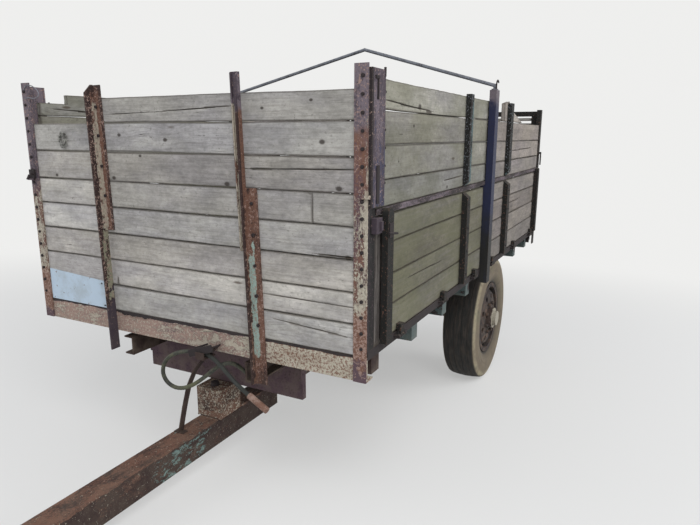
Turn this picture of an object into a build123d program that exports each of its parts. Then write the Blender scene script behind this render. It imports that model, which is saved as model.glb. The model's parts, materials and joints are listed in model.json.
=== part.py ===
from build123d import *
import os
from math import asin, atan2, cos, degrees, hypot, pi, radians, sin, sqrt, tan

# A single-axle farm tipping trailer with a high plank body, parked on its two
# wheels and on the end of its drawbar. All sizes are in millimetres.
# It is drawn level in the body's own axes: x forward with 0 at the front rail's
# face, y to the left, z up with 0 at the front rail's bottom. The last step
# pitches it nose down until the drawbar's end touches the ground, and puts the
# origin at the bottom centre of the whole trailer's box.

# Body: outer sizes, thicknesses and gaps
BODY_LENGTH = 3720
BODY_WIDTH = 2038
PLANK = 28
PLANK_GAP = 3
STEEL = 8
SEAT = 0.3
RUNNING = 0.06
CLEAR = 8
SIDE_GAP = 5

# Floor and what carries it
FLOOR_BOTTOM = 105
FLOOR_THICK = 25
REAR_RAIL = 20
BEARER_DEPTH = 140
BEARER_WIDTH = 80
BEARER_COUNT = 8
FIRST_BEARER = 205
LAST_BEARER = 80
RUNNER_DEPTH = 100
RUNNER_WIDTH = 60
RUNNER_SPREAD = 400
RUNNER_FRONT = 20
RUNNER_SOLID = 80

# Front wall
FRONT_RAIL_HEIGHT = 110
FRONT_RAIL_FOOT = 60
FRONT_EDGES = [112, 250, 386, 523, 658, 790, 934, 1073, 1193]
PATCH_TOP = 256
PATCH_RISE = 28
PATCH_THICK = 2
PATCH_GAP = 5
PATCH_SHORT = 15

# Posts at the four corners
POST_HEIGHT = 1280
CORNER_FACE = 60
CORNER_SIDE = 65
SIDE_POST_SETBACK = 2
SIDE_POST_WIDTH = 124
SIDE_POST_PROUD = 12
SIDE_POST_FOOT = 735
SIDE_POST_TOP = 1265
CORNER_BOARD_TOP = 690
CLIP_Z = 772
CLIP_HEIGHT = 14
CLIP_PROUD = 10
REAR_POST_WIDTH = 70
REAR_POST_TOP = 1250
REAR_LATCH_Z = 860
REAR_LATCH_PROUD = 30
REAR_LATCH_DROP = 110

# Front uprights: y from, y to, foot, top, how far the web stands out, lean in degrees
UPRIGHT_FOOT = -95
UPRIGHT_BEVEL = 40
UPRIGHTS = [
    (-453, -445, UPRIGHT_FOOT, 1253, 52, 1.5),
    (-445, -392, 540, 1250, 12, 1.5),
    (447, 455, -113, 1275, 36, 1.7),
    (455, 514, -113, 790, 12, 1.7),
    (411, 447, 510, 1275, 12, 1.7),
]

# Side walls
EDGE_RAIL_BOTTOM = 95
EDGE_RAIL_TOP = 136
EDGE_RAIL_FLANGE = 56
GATE_EDGES = [142, 283, 423, 567, 692]
MID_RAIL_BOTTOM = 700
MID_RAIL_TOP = 724
MID_RAIL_PROUD = 6
BOARD_EDGES = [726, 839, 979, 1116, 1237]
MID_POST_FORWARD = 60
MID_POST_WIDTH = 80
MID_POST_PROUD = 50
MID_POST_TOP = 1300
MID_POST_FOOT = 40
# Side uprights: distance ahead of the mid post, width
SIDE_UPRIGHTS = [(500, 60), (-560, 80)]
SIDE_UPRIGHT_PROUD = 30
SIDE_UPRIGHT_TOP = 1245
SIDE_UPRIGHT_BEVEL = 28

# Damage to the top boards: places behind the mid post, and heights
BREAK_TOP = 60
BREAK_FOOT = 240
STUMP_REAR = 580
STUMP_WIDTH = 140
STUMP_TOP = 1262
SLIVER_LENGTH = 480
SLIVER_RISE = 108
RIGHT_HOLE_REAR = 240
RIGHT_HOLE_TOP = 1185

# Lower side gates
GATE_FRONT = 148
GATE_IRON_PROUD = 35
GATE_END_PROUD = 40
GATE_END_WIDTH = 60
GATE_END_INSET = 45
GATE_END_AHEAD = 40
GATE_END_TOP = 725
HINGE_OUT = 21
HINGE_Z = 118
HINGE_PIN_R = 5
HINGE_EYE_R = 9
HINGE_EYE_WIDTH = 40
HINGE_LUG_WIDTH = 20
HINGE_INSET = 180
HINGE_STRAP = 8
HINGE_STRAP_TOP = 30
GATE_SWING = 165

# Tailgate, hung from its top
TAILGATE_OFFSET = 15
TAILGATE_THICK = 30
TAILGATE_SIDE_GAP = 7
TAILGATE_STILE = 55
TAILGATE_BAR = 45
TAILGATE_FOOT = 20
TAILGATE_HINGE_Z = 1225
TAILGATE_TOP = 1240
TAILGATE_EDGES = [65, 205, 345, 485, 625, 765, 905, 1045]
SLATS = [(1060, 1088), (1106, 1134), (1152, 1180)]
TAILGATE_STRAP_Y = 330
TAILGATE_STRAP_WIDTH = 60
TAILGATE_PIN_R = 9
TAILGATE_SWING = 100

# Bow across the body between the mid posts
BOW_R = 11
BOW_APEX_Y = 120
BOW_RISE = 300
BOW_FOOT = 8
BOW_FOOT_SIZE = 50
BOW_STUB = 20

# Wheels and axle
WHEEL_R = 490
TYRE_WIDTH = 262
TYRE_INSET = 55
TYRE_ROOM = 20
TREAD_DROP = 6
TREAD_INSET = 24
RIM_R = 264
RIM_WIDTH = 200
RIM_FLANGE = 14
RIM_THICK = 18
DISC_THICK = 12
# Outer face of the dished disc: radius, distance outwards from the wheel's middle
DISC_FACE = [(245, 50), (232, 72), (205, 100), (150, 108), (80.3, 108)]
DISC_HOLES = 8
DISC_HOLE_R = 22
DISC_HOLE_RING = 170
HUB_R = 80
HUB_INNER = 60
HUB_FLANGE_R = 110
HUB_FLANGE = 14
HUB_CAP_R = 57
HUB_CAP_FROM = 150
HUB_PROUD = 45
AXLE_FROM_REAR = 1300
AXLE_BEAM = 70
STUB_R = 30
STUB_REACH = 40
SADDLE_LENGTH = 180

# Chassis
RAIL_DEPTH = 120
RAIL_END_GAP = 100
CROSSMEMBER_X = -276
CROSSMEMBER_THICK = 45
CROSSMEMBER_OVERHANG = 90
CROSSMEMBER_STEP = 85
CROSSMEMBER_DEPTH = 175
CROSSMEMBER_SETBACK = 12
MID_CROSSMEMBER_X = -650
CROSS_BOX = 80

# Drawbar, its pedestal and towing eye
PEDESTAL_HEIGHT = 165
PEDESTAL_WIDTH = 160
PEDESTAL_AHEAD = 106
PEDESTAL_REAR = 60
DRAWBAR_DEPTH = 140
DRAWBAR_WIDTH = 120
DRAWBAR_FRONT = 1300
DRAWBAR_REAR_REACH = 70
EYE_REACH = 150
EYE_NECK = 40
EYE_R = 55
EYE_BORE_R = 25
EYE_THICK = 40

# Tipping gear
PIVOT_FROM_REAR = 220
PIVOT_R = 20
PIVOT_TAIL = 30
PIVOT_CHEEK_TAIL = 40
PIVOT_CHEEK_RISE = 40
PIVOT_BASE_DROP = 25
PIVOT_TUBE = 50
CHEEK = 12
TIP_ANGLE = 45
RAM_BASE_AHEAD = 250
RAM_BASE_Z = -295
RAM_EYE_X = -850
RAM_EYE_Z = -125
RAM_CROSSMEMBER_AHEAD = 150
BARREL_R = 50
BARREL_FROM = 45
BARREL_SHORT = 90
ROD_R = 22
RAM_EYE_R = 28
RAM_EYE_HALF = 20
EAR = 12
EAR_ROOM = 7
CLEVIS_HALF = 40

# Hydraulic hose and the hanger that carries it
HOSE_R = 10
FITTING_R = 15
FITTING_COLLAR_R = 20
COUPLER_LENGTH = 115
COUPLER_R = 15
HANGER_WIDTH = 34
HANGER_THICK = 6
HANGER_X = 5
# The hanger's line: y, height above the drawbar
HANGER_LINE = [(-25, 3), (-8, 70), (14, 154), (49, 270), (95, 360), (150, 425), (203, 472), (248, 516)]
HANGER_FOOT_Y = (-55, 5)
HANGER_HOOK_Y = (165, 215)
HANGER_HOOK_RISE = 456
HANGER_HOOK_REACH = 90
HANGER_HOOK_LIP = 34
HOSE_EXIT = (-255, 300, -190)
HOSE_POINTS = [
    HOSE_EXIT, (-205, 300, -190), (-150, 302, -170), (-95, 303, -120), (-45, 295, -68),
    (0, 268, -50), (28, 225, -80), (42, 170, -130), (55, 105, -180), (68, 35, -208),
    (78, -25, -195), (84, -58, -150), (82, -55, -95), (76, -20, -45), (68, 40, -14),
    (60, 110, 2), (56, 180, 6), (60, 245, -8), (70, 305, -38), (82, 365, -75),
    (92, 425, -108), (98, 480, -132),
]

# Derived places
half = BODY_WIDTH / 2
rear_x = -BODY_LENGTH
wall_in = half - PLANK
bearer_bottom = FLOOR_BOTTOM - BEARER_DEPTH
runner_top = bearer_bottom
runner_bottom = runner_top - RUNNER_DEPTH
runner_in = RUNNER_SPREAD - RUNNER_WIDTH / 2
runner_out = RUNNER_SPREAD + RUNNER_WIDTH / 2
floor_top = FLOOR_BOTTOM + FLOOR_THICK
rail_top = runner_bottom - SEAT
rail_bottom = rail_top - RAIL_DEPTH
crossmember_bottom = rail_top - CROSSMEMBER_DEPTH
drawbar_top = crossmember_bottom - PEDESTAL_HEIGHT
drawbar_bottom = drawbar_top - DRAWBAR_DEPTH
axle_x = rear_x + AXLE_FROM_REAR
axle_z = FLOOR_BOTTOM - TYRE_ROOM - WHEEL_R
wheel_y = half - TYRE_INSET - TYRE_WIDTH / 2
pivot_x = rear_x + PIVOT_FROM_REAR
pivot_z = runner_bottom + RUNNER_DEPTH / 2
hinge_y = half + HINGE_OUT
mid_x = rear_x / 2 + MID_POST_FORWARD
post_front = mid_x + MID_POST_WIDTH / 2
post_rear = mid_x - MID_POST_WIDTH / 2
wall_rear = rear_x + REAR_POST_WIDTH
wall_front = -CORNER_SIDE
gate_front = -GATE_FRONT
tailgate_half = wall_in - TAILGATE_SIDE_GAP
tailgate_front = rear_x - TAILGATE_OFFSET
tailgate_x = tailgate_front - TAILGATE_THICK / 2
eye_x = DRAWBAR_FRONT + EYE_REACH - EYE_R
ram_base = (axle_x + RAM_BASE_AHEAD, RAM_BASE_Z)
ram_eye = (RAM_EYE_X, RAM_EYE_Z)
ram_length = hypot(ram_eye[0] - ram_base[0], ram_eye[1] - ram_base[1])
ram_tilt = atan2(ram_eye[1] - ram_base[1], ram_eye[0] - ram_base[0])

nodes = {}


def add(node, *shapes):
    nodes.setdefault(node, []).extend(shapes)


def add_pair(node, *shapes):
    for shape in shapes:
        add(node, shape, mirror(shape, about=Plane.XZ))


def block(x0, x1, y0, y1, z0, z1):
    return Pos((x0 + x1) / 2, (y0 + y1) / 2, (z0 + z1) / 2) * Box(x1 - x0, y1 - y0, z1 - z0)


def bar(start, end, radius):
    start, end = Vector(start), Vector(end)
    base = Plane(origin=start, z_dir=end - start)
    return base * Cylinder(radius, (end - start).length, align=(Align.CENTER, Align.CENTER, Align.MIN))


def cross_pin(x, z, y0, y1, radius):
    return bar((x, y0, z), (x, y1, z), radius)


def ring(outer, inner, y0, y1):
    return cross_pin(0, 0, y0, y1, outer) - cross_pin(0, 0, y0 - 1, y1 + 1, inner)


def board(outline, y0, y1):
    """A flat piece whose (x, z) outline runs from y0 to y1."""
    face = make_face(Polyline(*[(x, y0, z) for x, z in outline], close=True))
    return extrude(face, amount=y1 - y0, dir=(0, 1, 0))


def profile(outline, x0, x1):
    """A straight piece whose (y, z) outline runs from x0 to x1."""
    face = make_face(Polyline(*[(x0, y, z) for y, z in outline], close=True))
    return extrude(face, amount=x1 - x0, dir=(1, 0, 0))


def turned(outline):
    """A ring whose (radius, y) outline turns about the y axis."""
    return revolve(make_face(Polyline(*[(r, y, 0) for r, y in outline], close=True)), Axis.Y)


def side_span(side, low, high):
    return (low, high) if side > 0 else (-high, -low)


# Bed: floor, cross-bearers and runners
def bearer_places():
    pitch_x = (BODY_LENGTH - FIRST_BEARER - LAST_BEARER) / (BEARER_COUNT - 1)
    wheel_span = sqrt(WHEEL_R**2 - (bearer_bottom - axle_z) ** 2) + BEARER_WIDTH
    at_wheel = wheel_y - TYRE_WIDTH / 2 - 2 * TYRE_ROOM
    for index in range(BEARER_COUNT):
        x = -FIRST_BEARER - index * pitch_x
        yield x, at_wheel if abs(x - axle_x) < wheel_span else half - EDGE_RAIL_FLANGE


def bed_frame():
    runner = block(pivot_x - PIVOT_TAIL, -RUNNER_FRONT, runner_in, runner_out, runner_bottom, runner_top)
    hollow_low, hollow_high = runner_bottom + STEEL, runner_top - STEEL
    runner -= block(pivot_x + RUNNER_SOLID, 0, runner_in + STEEL, runner_out + 1, hollow_low, hollow_high)
    runner -= cross_pin(pivot_x, pivot_z, runner_in - 1, runner_out + 1, PIVOT_R + RUNNING)
    add_pair("bed_runners", runner)
    for x, reach in bearer_places():
        front, rear = x + BEARER_WIDTH / 2, x - BEARER_WIDTH / 2
        bearer = block(rear, front, -reach, reach, bearer_bottom, FLOOR_BOTTOM)
        low, high = bearer_bottom + STEEL, FLOOR_BOTTOM - STEEL
        bearer -= block(rear - 1, front - STEEL, STEEL - reach, reach - STEEL, low, high)
        add("bed_cross_bearers", bearer)
    floor_half = wall_in - 1
    rear_rail_half = wall_in - SIDE_GAP
    sill_x = rear_x + REAR_RAIL
    add("bed_floor", block(sill_x, -PLANK - 2, -floor_half, floor_half, FLOOR_BOTTOM, floor_top))
    add("rear_rail", block(rear_x, sill_x, -rear_rail_half, rear_rail_half, 0, floor_top))


# Front wall: rail, planks, patch and uprights
def front_wall():
    rail = block(-STEEL, 0, -half, half, 0, FRONT_RAIL_HEIGHT)
    add("front_rail", rail + block(-FRONT_RAIL_FOOT, 0, -half, half, 0, STEEL))
    reach = half - STEEL - 1
    lost_bay_edge = UPRIGHTS[0][1]
    for low, high in zip(FRONT_EDGES, FRONT_EDGES[1:]):
        right_end = lost_bay_edge if high == FRONT_EDGES[-1] else -reach
        add("front_planks", block(-PLANK, 0, right_end, reach, low, high - PLANK_GAP))
    patch_y0, patch_y1 = CORNER_FACE - half + PATCH_GAP, UPRIGHTS[0][0] - PATCH_SHORT
    patch_foot = FRONT_EDGES[0]
    patch = [(patch_y0, patch_foot), (patch_y1, patch_foot), (patch_y1, PATCH_TOP), (patch_y0, PATCH_TOP + PATCH_RISE)]
    add("patch_sheet", profile(patch, 0, PATCH_THICK))
    earlier = []
    for y0, y1, foot, top, proud, lean in UPRIGHTS:
        bevel = min(UPRIGHT_BEVEL, proud - STEEL)
        web = [(0, foot), (proud, foot), (proud, top - bevel), (proud - bevel, top), (0, top)]
        piece = board(web, y0, y0 + STEEL) + block(0, STEEL, y0, y1, foot, top)
        turn = Pos(0, y0, UPRIGHT_FOOT) * Rot(lean, 0, 0) * Pos(0, -y0, -UPRIGHT_FOOT)
        piece = turn * piece
        # A later upright is notched round the one it meets
        for other in earlier:
            piece -= other
        earlier.append(piece)
        add("front_uprights", piece)


def corner_posts():
    outer = half + SIDE_POST_PROUD
    post = block(0, STEEL, half - CORNER_FACE, half, 0, POST_HEIGHT)
    post += block(wall_front, STEEL, half - STEEL, half, EDGE_RAIL_TOP, SIDE_POST_TOP)
    front = -SIDE_POST_SETBACK
    rear = front - SIDE_POST_WIDTH
    post += block(rear, front, outer - STEEL, outer, SIDE_POST_FOOT, SIDE_POST_TOP)
    for x in (rear, front - STEEL):
        post += block(x, x + STEEL, half, outer, SIDE_POST_FOOT, SIDE_POST_TOP)
    clip_top = CLIP_Z + CLIP_HEIGHT
    post += block(STEEL, STEEL + CLIP_PROUD, half - CORNER_FACE / 2, half + CLIP_PROUD, CLIP_Z, clip_top)
    post += block(-SIDE_POST_SETBACK, STEEL + CLIP_PROUD, half, half + CLIP_PROUD, CLIP_Z, clip_top)
    add_pair("front_corner_posts", post)
    board_rear = gate_front + CLEAR
    add_pair("corner_boards", block(board_rear, wall_front, wall_in, half, EDGE_RAIL_TOP, CORNER_BOARD_TOP))
    rear_post = block(rear_x, wall_rear, wall_in, half, floor_top + 1, REAR_POST_TOP)
    rear_post += block(rear_x, wall_rear, half, half + STEEL, 0, REAR_POST_TOP)
    latch_x = rear_x + REAR_POST_WIDTH / 2
    latch_y = half + REAR_LATCH_PROUD
    rear_post += cross_pin(latch_x, REAR_LATCH_Z, half, latch_y, HINGE_EYE_R)
    rear_post += block(latch_x - 8, latch_x + 8, latch_y - 10, latch_y, REAR_LATCH_Z - REAR_LATCH_DROP, REAR_LATCH_Z)
    lug_y = tailgate_half + CLEAR
    pin_z = TAILGATE_HINGE_Z
    lug_z0, lug_z1 = pin_z - HINGE_EYE_R, pin_z + HINGE_EYE_R
    rear_post += block(tailgate_x - HINGE_EYE_R, rear_x, lug_y, lug_y + EAR, lug_z0, lug_z1)
    rear_post += cross_pin(tailgate_x, pin_z, tailgate_half - TAILGATE_STILE + 10, lug_y + EAR, TAILGATE_PIN_R)
    add_pair("rear_corner_posts", rear_post)


# Side walls: edge rails with hinge lugs, mid rails, posts, uprights and upper boards
def gate_spans():
    front_gate = (post_front + CLEAR, gate_front)
    rear_gate = (wall_rear + CLEAR, post_rear - CLEAR)
    return [("front", *front_gate), ("rear", *rear_gate)]


def hinge_places(rear, front):
    return (rear + HINGE_INSET, (rear + front) / 2, front - HINGE_INSET)


def hinge_lug(x):
    inner = HINGE_EYE_WIDTH / 2 + SIDE_GAP
    outer = inner + HINGE_LUG_WIDTH
    lug = bar((x - outer, hinge_y, HINGE_Z), (x + outer, hinge_y, HINGE_Z), HINGE_PIN_R)
    for x0, x1 in ((x - outer, x - inner), (x + inner, x + outer)):
        lug += bar((x0, hinge_y, HINGE_Z), (x1, hinge_y, HINGE_Z), HINGE_EYE_R)
        lug += block(x0, x1, half, hinge_y, HINGE_Z - HINGE_PIN_R, HINGE_Z + HINGE_PIN_R)
    return lug


def side_rails():
    flange_top = EDGE_RAIL_BOTTOM + STEEL
    rail = block(wall_rear, -STEEL, half - STEEL, half, EDGE_RAIL_BOTTOM, EDGE_RAIL_TOP)
    rail += block(wall_rear, -STEEL, half - EDGE_RAIL_FLANGE, half, EDGE_RAIL_BOTTOM, flange_top)
    for _, rear, front in gate_spans():
        for x in hinge_places(rear, front):
            rail += hinge_lug(x)
    add_pair("side_edge_rails", rail)
    outer = half + MID_RAIL_PROUD
    add_pair("mid_rails", block(wall_rear, wall_front, wall_in, outer, MID_RAIL_BOTTOM, MID_RAIL_TOP))


def side_posts():
    face = half + MID_POST_PROUD
    post = block(post_rear, post_front, half + MID_RAIL_PROUD, face, MID_RAIL_BOTTOM, MID_POST_TOP)
    post += block(post_rear, post_front, wall_in, face, EDGE_RAIL_TOP, MID_RAIL_BOTTOM)
    post += block(post_rear, post_front, half, face, MID_POST_FOOT, EDGE_RAIL_TOP)
    add_pair("mid_posts", post)
    outer, bevel = half + SIDE_UPRIGHT_PROUD, SIDE_UPRIGHT_BEVEL
    foot = MID_RAIL_TOP + 2
    outline = [(half, foot), (outer, foot + bevel), (outer, SIDE_UPRIGHT_TOP), (half, SIDE_UPRIGHT_TOP)]
    for ahead, width in SIDE_UPRIGHTS:
        x = mid_x + ahead
        add_pair("side_uprights", profile(outline, x - width / 2, x + width / 2))


def upper_boards():
    rows = list(zip(BOARD_EDGES, [edge - PLANK_GAP for edge in BOARD_EDGES[1:]]))
    low, high = rows[-1]
    stump_rear, stump_front = mid_x - STUMP_REAR, mid_x - STUMP_REAR + STUMP_WIDTH
    sliver_front = stump_rear - 1
    left_top = [
        [(wall_front, low), (wall_front, high), (mid_x - BREAK_TOP, high), (mid_x - BREAK_FOOT, low)],
        [(stump_front, low), (stump_front, STUMP_TOP - 20), (stump_rear, STUMP_TOP), (stump_rear, low)],
        [(sliver_front, low), (sliver_front, low + SLIVER_RISE), (sliver_front - SLIVER_LENGTH, low)],
    ]
    hole = -RIGHT_HOLE_REAR
    right_top = [[
        (wall_front, low), (wall_front, RIGHT_HOLE_TOP), (hole, RIGHT_HOLE_TOP), (hole, high),
        (wall_rear, high), (wall_rear, low),
    ]]
    for node, side, top_pieces in (("side_boards_left", 1, left_top), ("side_boards_right", -1, right_top)):
        y0, y1 = side_span(side, wall_in, half)
        for z0, z1 in rows[:-1]:
            add(node, block(wall_rear, wall_front, y0, y1, z0, z1))
        for outline in top_pieces:
            add(node, board(outline, y0, y1))


# Gates: planks, an upright, an end iron with a round top, and three hinge straps
def gate_irons(name, rear, front):
    low, top = GATE_EDGES[0], GATE_EDGES[-1] - PLANK_GAP
    ahead, width = SIDE_UPRIGHTS[0] if name == "front" else SIDE_UPRIGHTS[1]
    x = mid_x + ahead
    outer, bevel = half + GATE_IRON_PROUD, SIDE_UPRIGHT_BEVEL
    outline = [(half, low), (outer, low), (outer, top - bevel), (half, top)]
    irons = [profile(outline, x - width / 2, x + width / 2)]
    end_in = half + MID_RAIL_PROUD + SIDE_GAP
    end_out = half + GATE_END_PROUD
    radius = GATE_END_WIDTH / 2
    end_x = front + GATE_END_AHEAD - radius if name == "front" else rear + GATE_END_INSET + radius
    end = block(end_x - radius, end_x + radius, end_in, end_out, low, GATE_END_TOP - radius)
    end += cross_pin(end_x, GATE_END_TOP - radius, end_in, end_out, radius)
    end += block(end_x - radius, min(end_x + radius, front), half, end_in, low, top)
    irons.append(end)
    strap_in, strap_out = hinge_y - HINGE_STRAP / 2, hinge_y + HINGE_STRAP / 2
    strap_top = low + HINGE_STRAP_TOP
    for x in hinge_places(rear, front):
        x0, x1 = x - HINGE_EYE_WIDTH / 2, x + HINGE_EYE_WIDTH / 2
        strap = block(x0, x1, strap_in, strap_out, HINGE_Z, strap_top)
        strap += block(x0, x1, half, strap_out, low + 2, strap_top)
        strap += bar((x0, hinge_y, HINGE_Z), (x1, hinge_y, HINGE_Z), HINGE_EYE_R)
        strap -= bar((x0 - 1, hinge_y, HINGE_Z), (x1 + 1, hinge_y, HINGE_Z), HINGE_PIN_R + RUNNING)
        irons.append(strap)
    # A strap that meets an upright is one piece with it
    return (Part() + irons).solids()


def gates():
    for name, rear, front in gate_spans():
        planks = [
            block(rear, front, wall_in, half, low, high - PLANK_GAP)
            for low, high in zip(GATE_EDGES, GATE_EDGES[1:])
        ]
        for kind, shapes in (("planks", planks), ("irons", gate_irons(name, rear, front))):
            for shape in shapes:
                add(f"gate_{name}_left_{kind}", shape)
                add(f"gate_{name}_right_{kind}", mirror(shape, about=Plane.XZ))


def tailgate():
    back, front = tailgate_front - TAILGATE_THICK, tailgate_front
    stile_in = tailgate_half - TAILGATE_STILE
    low, high = TAILGATE_FOOT + TAILGATE_BAR, TAILGATE_TOP - TAILGATE_BAR
    frame = block(back, front, -tailgate_half, tailgate_half, TAILGATE_FOOT, TAILGATE_TOP)
    frame -= block(back - 1, front + 1, -stile_in, stile_in, low, high)
    for side in (-1, 1):
        hole = cross_pin(
            tailgate_x, TAILGATE_HINGE_Z, side * (stile_in + 5), side * (tailgate_half + 1), TAILGATE_PIN_R + RUNNING
        )
        y = side * TAILGATE_STRAP_Y
        y0, y1 = y - TAILGATE_STRAP_WIDTH / 2, y + TAILGATE_STRAP_WIDTH / 2
        frame = frame - hole + block(back - STEEL, back, y0, y1, TAILGATE_FOOT, TAILGATE_TOP)
    add("tailgate_frame", frame)
    for z0, z1 in zip(TAILGATE_EDGES, TAILGATE_EDGES[1:]):
        add("tailgate_planks", block(back, front - 1, -stile_in, stile_in, z0, z1 - PLANK_GAP))
    for z0, z1 in SLATS:
        add("tailgate_slats", block(back, front - 5, -stile_in, stile_in, z0, z1))


def bow():
    y = half + (MID_RAIL_PROUD + MID_POST_PROUD) / 2
    z = MID_POST_TOP + BOW_FOOT
    reach = BOW_FOOT_SIZE / 2
    apex = (mid_x, BOW_APEX_Y, MID_POST_TOP + BOW_RISE)
    shape = Pos(*apex) * Sphere(BOW_R + 1)
    for side in (-1, 1):
        foot = (mid_x, side * y, z + BOW_STUB)
        y0, y1 = side * y - BOW_R - SIDE_GAP, side * y + BOW_R + SIDE_GAP
        shape += block(mid_x - reach, mid_x + reach, y0, y1, MID_POST_TOP, z)
        shape += bar((mid_x, side * y, z - 1), foot, BOW_R)
        shape += Pos(*foot) * Sphere(BOW_R + 1) + bar(foot, apex, BOW_R)
    add("bow", shape)


# Wheels, drawn about the y axis with the outer side towards +y
def tyre_ring():
    shoulder = (WHEEL_R - TREAD_DROP, TYRE_WIDTH / 2 - TREAD_INSET)
    bead = RIM_WIDTH / 2 - SEAT
    inner, flange = RIM_R + SEAT, RIM_R + RIM_FLANGE + 1
    bulge = ((WHEEL_R + RIM_R) / 2, TYRE_WIDTH / 2)
    outline = Polyline((flange, -bead), (inner, -bead), (inner, bead), (flange, bead))
    outline += ThreePointArc((flange, bead), bulge, shoulder)
    outline += ThreePointArc(shoulder, (WHEEL_R, 0), (shoulder[0], -shoulder[1]))
    outline += ThreePointArc((shoulder[0], -shoulder[1]), (bulge[0], -bulge[1]), (flange, -bead))
    return revolve(make_face(outline), Axis.Y)


def rim_ring():
    inner = RIM_R - RIM_THICK
    rim = ring(RIM_R, inner, -RIM_WIDTH / 2, RIM_WIDTH / 2)
    for y0 in (-RIM_WIDTH / 2 - STEEL, RIM_WIDTH / 2):
        rim += ring(RIM_R + RIM_FLANGE, inner, y0, y0 + STEEL)
    outer_face = [(inner + 1, DISC_FACE[0][1])] + DISC_FACE[1:]
    inner_face = [(r, y - DISC_THICK) for r, y in reversed(outer_face)]
    rim += turned(outer_face + inner_face)
    for index in range(DISC_HOLES):
        angle = 2 * pi * (index + 0.5) / DISC_HOLES
        x, z = DISC_HOLE_RING * cos(angle), DISC_HOLE_RING * sin(angle)
        rim -= cross_pin(x, z, 0, TYRE_WIDTH / 2, DISC_HOLE_R)
    return rim


def hub_body():
    flange_y = DISC_FACE[-1][1] - DISC_THICK
    bore = STUB_R + RUNNING
    hub = ring(HUB_FLANGE_R, bore, flange_y - HUB_FLANGE, flange_y)
    hub += ring(HUB_R, bore, -HUB_INNER, HUB_CAP_FROM)
    return hub + cross_pin(0, 0, HUB_CAP_FROM, TYRE_WIDTH / 2 + HUB_PROUD, HUB_CAP_R)


def wheels():
    for name, side in (("left", 1), ("right", -1)):
        turn = Pos(axle_x, side * wheel_y, axle_z) * Rot(0, 0, 0 if side > 0 else 180)
        for kind, shape in (("tyre", tyre_ring()), ("rim", rim_ring()), ("hub", hub_body())):
            add(f"{kind}_{name}", turn * shape)


def axle():
    beam_half = wheel_y - TYRE_WIDTH / 2 - 50
    across = AXLE_BEAM / 2
    beam = block(axle_x - across, axle_x + across, -beam_half, beam_half, axle_z - across, axle_z + across)
    for side in (-1, 1):
        beam += cross_pin(axle_x, axle_z, side * (beam_half - 5), side * (wheel_y + STUB_REACH), STUB_R)
        y0, y1 = side_span(side, runner_in, runner_out)
        reach = SADDLE_LENGTH / 2
        beam += block(axle_x - reach, axle_x + reach, y0, y1, axle_z + across, rail_bottom)
    add("axle_beam", beam)


# Chassis: rails, crossmembers and the rear pivot
def chassis():
    front = CROSSMEMBER_X
    rear = front - CROSSMEMBER_THICK
    rail_rear = pivot_x + RAIL_END_GAP
    rail = block(rail_rear, rear, runner_in, runner_out, rail_bottom, rail_top)
    low, high = rail_bottom + STEEL, rail_top - STEEL
    rail -= block(rail_rear - 1, rear + 1, runner_in - 1, runner_out - STEEL, low, high)
    add_pair("chassis_rails", rail)
    step = rail_top - CROSSMEMBER_STEP
    reach = runner_out + CROSSMEMBER_OVERHANG
    member = block(rear, front, -reach, reach, step, rail_top)
    member += block(rear, front - CROSSMEMBER_SETBACK, -reach, reach, crossmember_bottom, step)
    add("chassis_front_crossmember", member)
    x0, x1 = MID_CROSSMEMBER_X - CROSS_BOX / 2, MID_CROSSMEMBER_X + CROSS_BOX / 2
    mid = block(x0, x1, -runner_in, runner_in, low, high)
    mid += block(x0, x1, -DRAWBAR_WIDTH / 2, DRAWBAR_WIDTH / 2, drawbar_top, low)
    add("chassis_mid_crossmember", mid)


def ram_crossmember():
    base_x, base_z = ram_base
    middle = axle_x + RAM_CROSSMEMBER_AHEAD
    x0, x1 = middle - CROSS_BOX / 2, middle + CROSS_BOX / 2
    member = block(x0, x1, -runner_out, runner_out, rail_bottom - CROSS_BOX, rail_bottom)
    ear_in = RAM_EYE_HALF + SIDE_GAP
    for side in (-1, 1):
        y0, y1 = side_span(side, ear_in, ear_in + EAR)
        member += block(x1, base_x, y0, y1, base_z - RAM_EYE_R, base_z + RAM_EYE_R)
        member += cross_pin(base_x, base_z, y0, y1, RAM_EYE_R)
    member += cross_pin(base_x, base_z, -ear_in - EAR, ear_in + EAR, RAM_EYE_R / 2)
    add("ram_crossmember", member)


def rear_pivot():
    cheek_rear, cheek_front = pivot_x - PIVOT_CHEEK_TAIL, pivot_x + RAIL_END_GAP
    cheek_top = pivot_z + PIVOT_CHEEK_RISE
    base_top = runner_bottom - PIVOT_BASE_DROP
    inner = runner_in - SIDE_GAP - CHEEK
    outer = runner_out + SIDE_GAP + CHEEK
    tube_x = pivot_x + RUNNER_WIDTH / 2
    frame = block(tube_x, tube_x + PIVOT_TUBE, -inner, inner, base_top - PIVOT_TUBE, base_top)
    for side in (-1, 1):
        y0, y1 = side_span(side, inner, outer)
        frame += block(cheek_rear, cheek_front, y0, y1, rail_bottom, base_top)
        for low in (inner, outer - CHEEK):
            y0, y1 = side_span(side, low, low + CHEEK)
            frame += block(cheek_rear, cheek_front, y0, y1, base_top, cheek_top)
        frame += cross_pin(pivot_x, pivot_z, side * inner, side * outer, PIVOT_R)
    add("rear_pivot_frame", frame)


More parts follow.
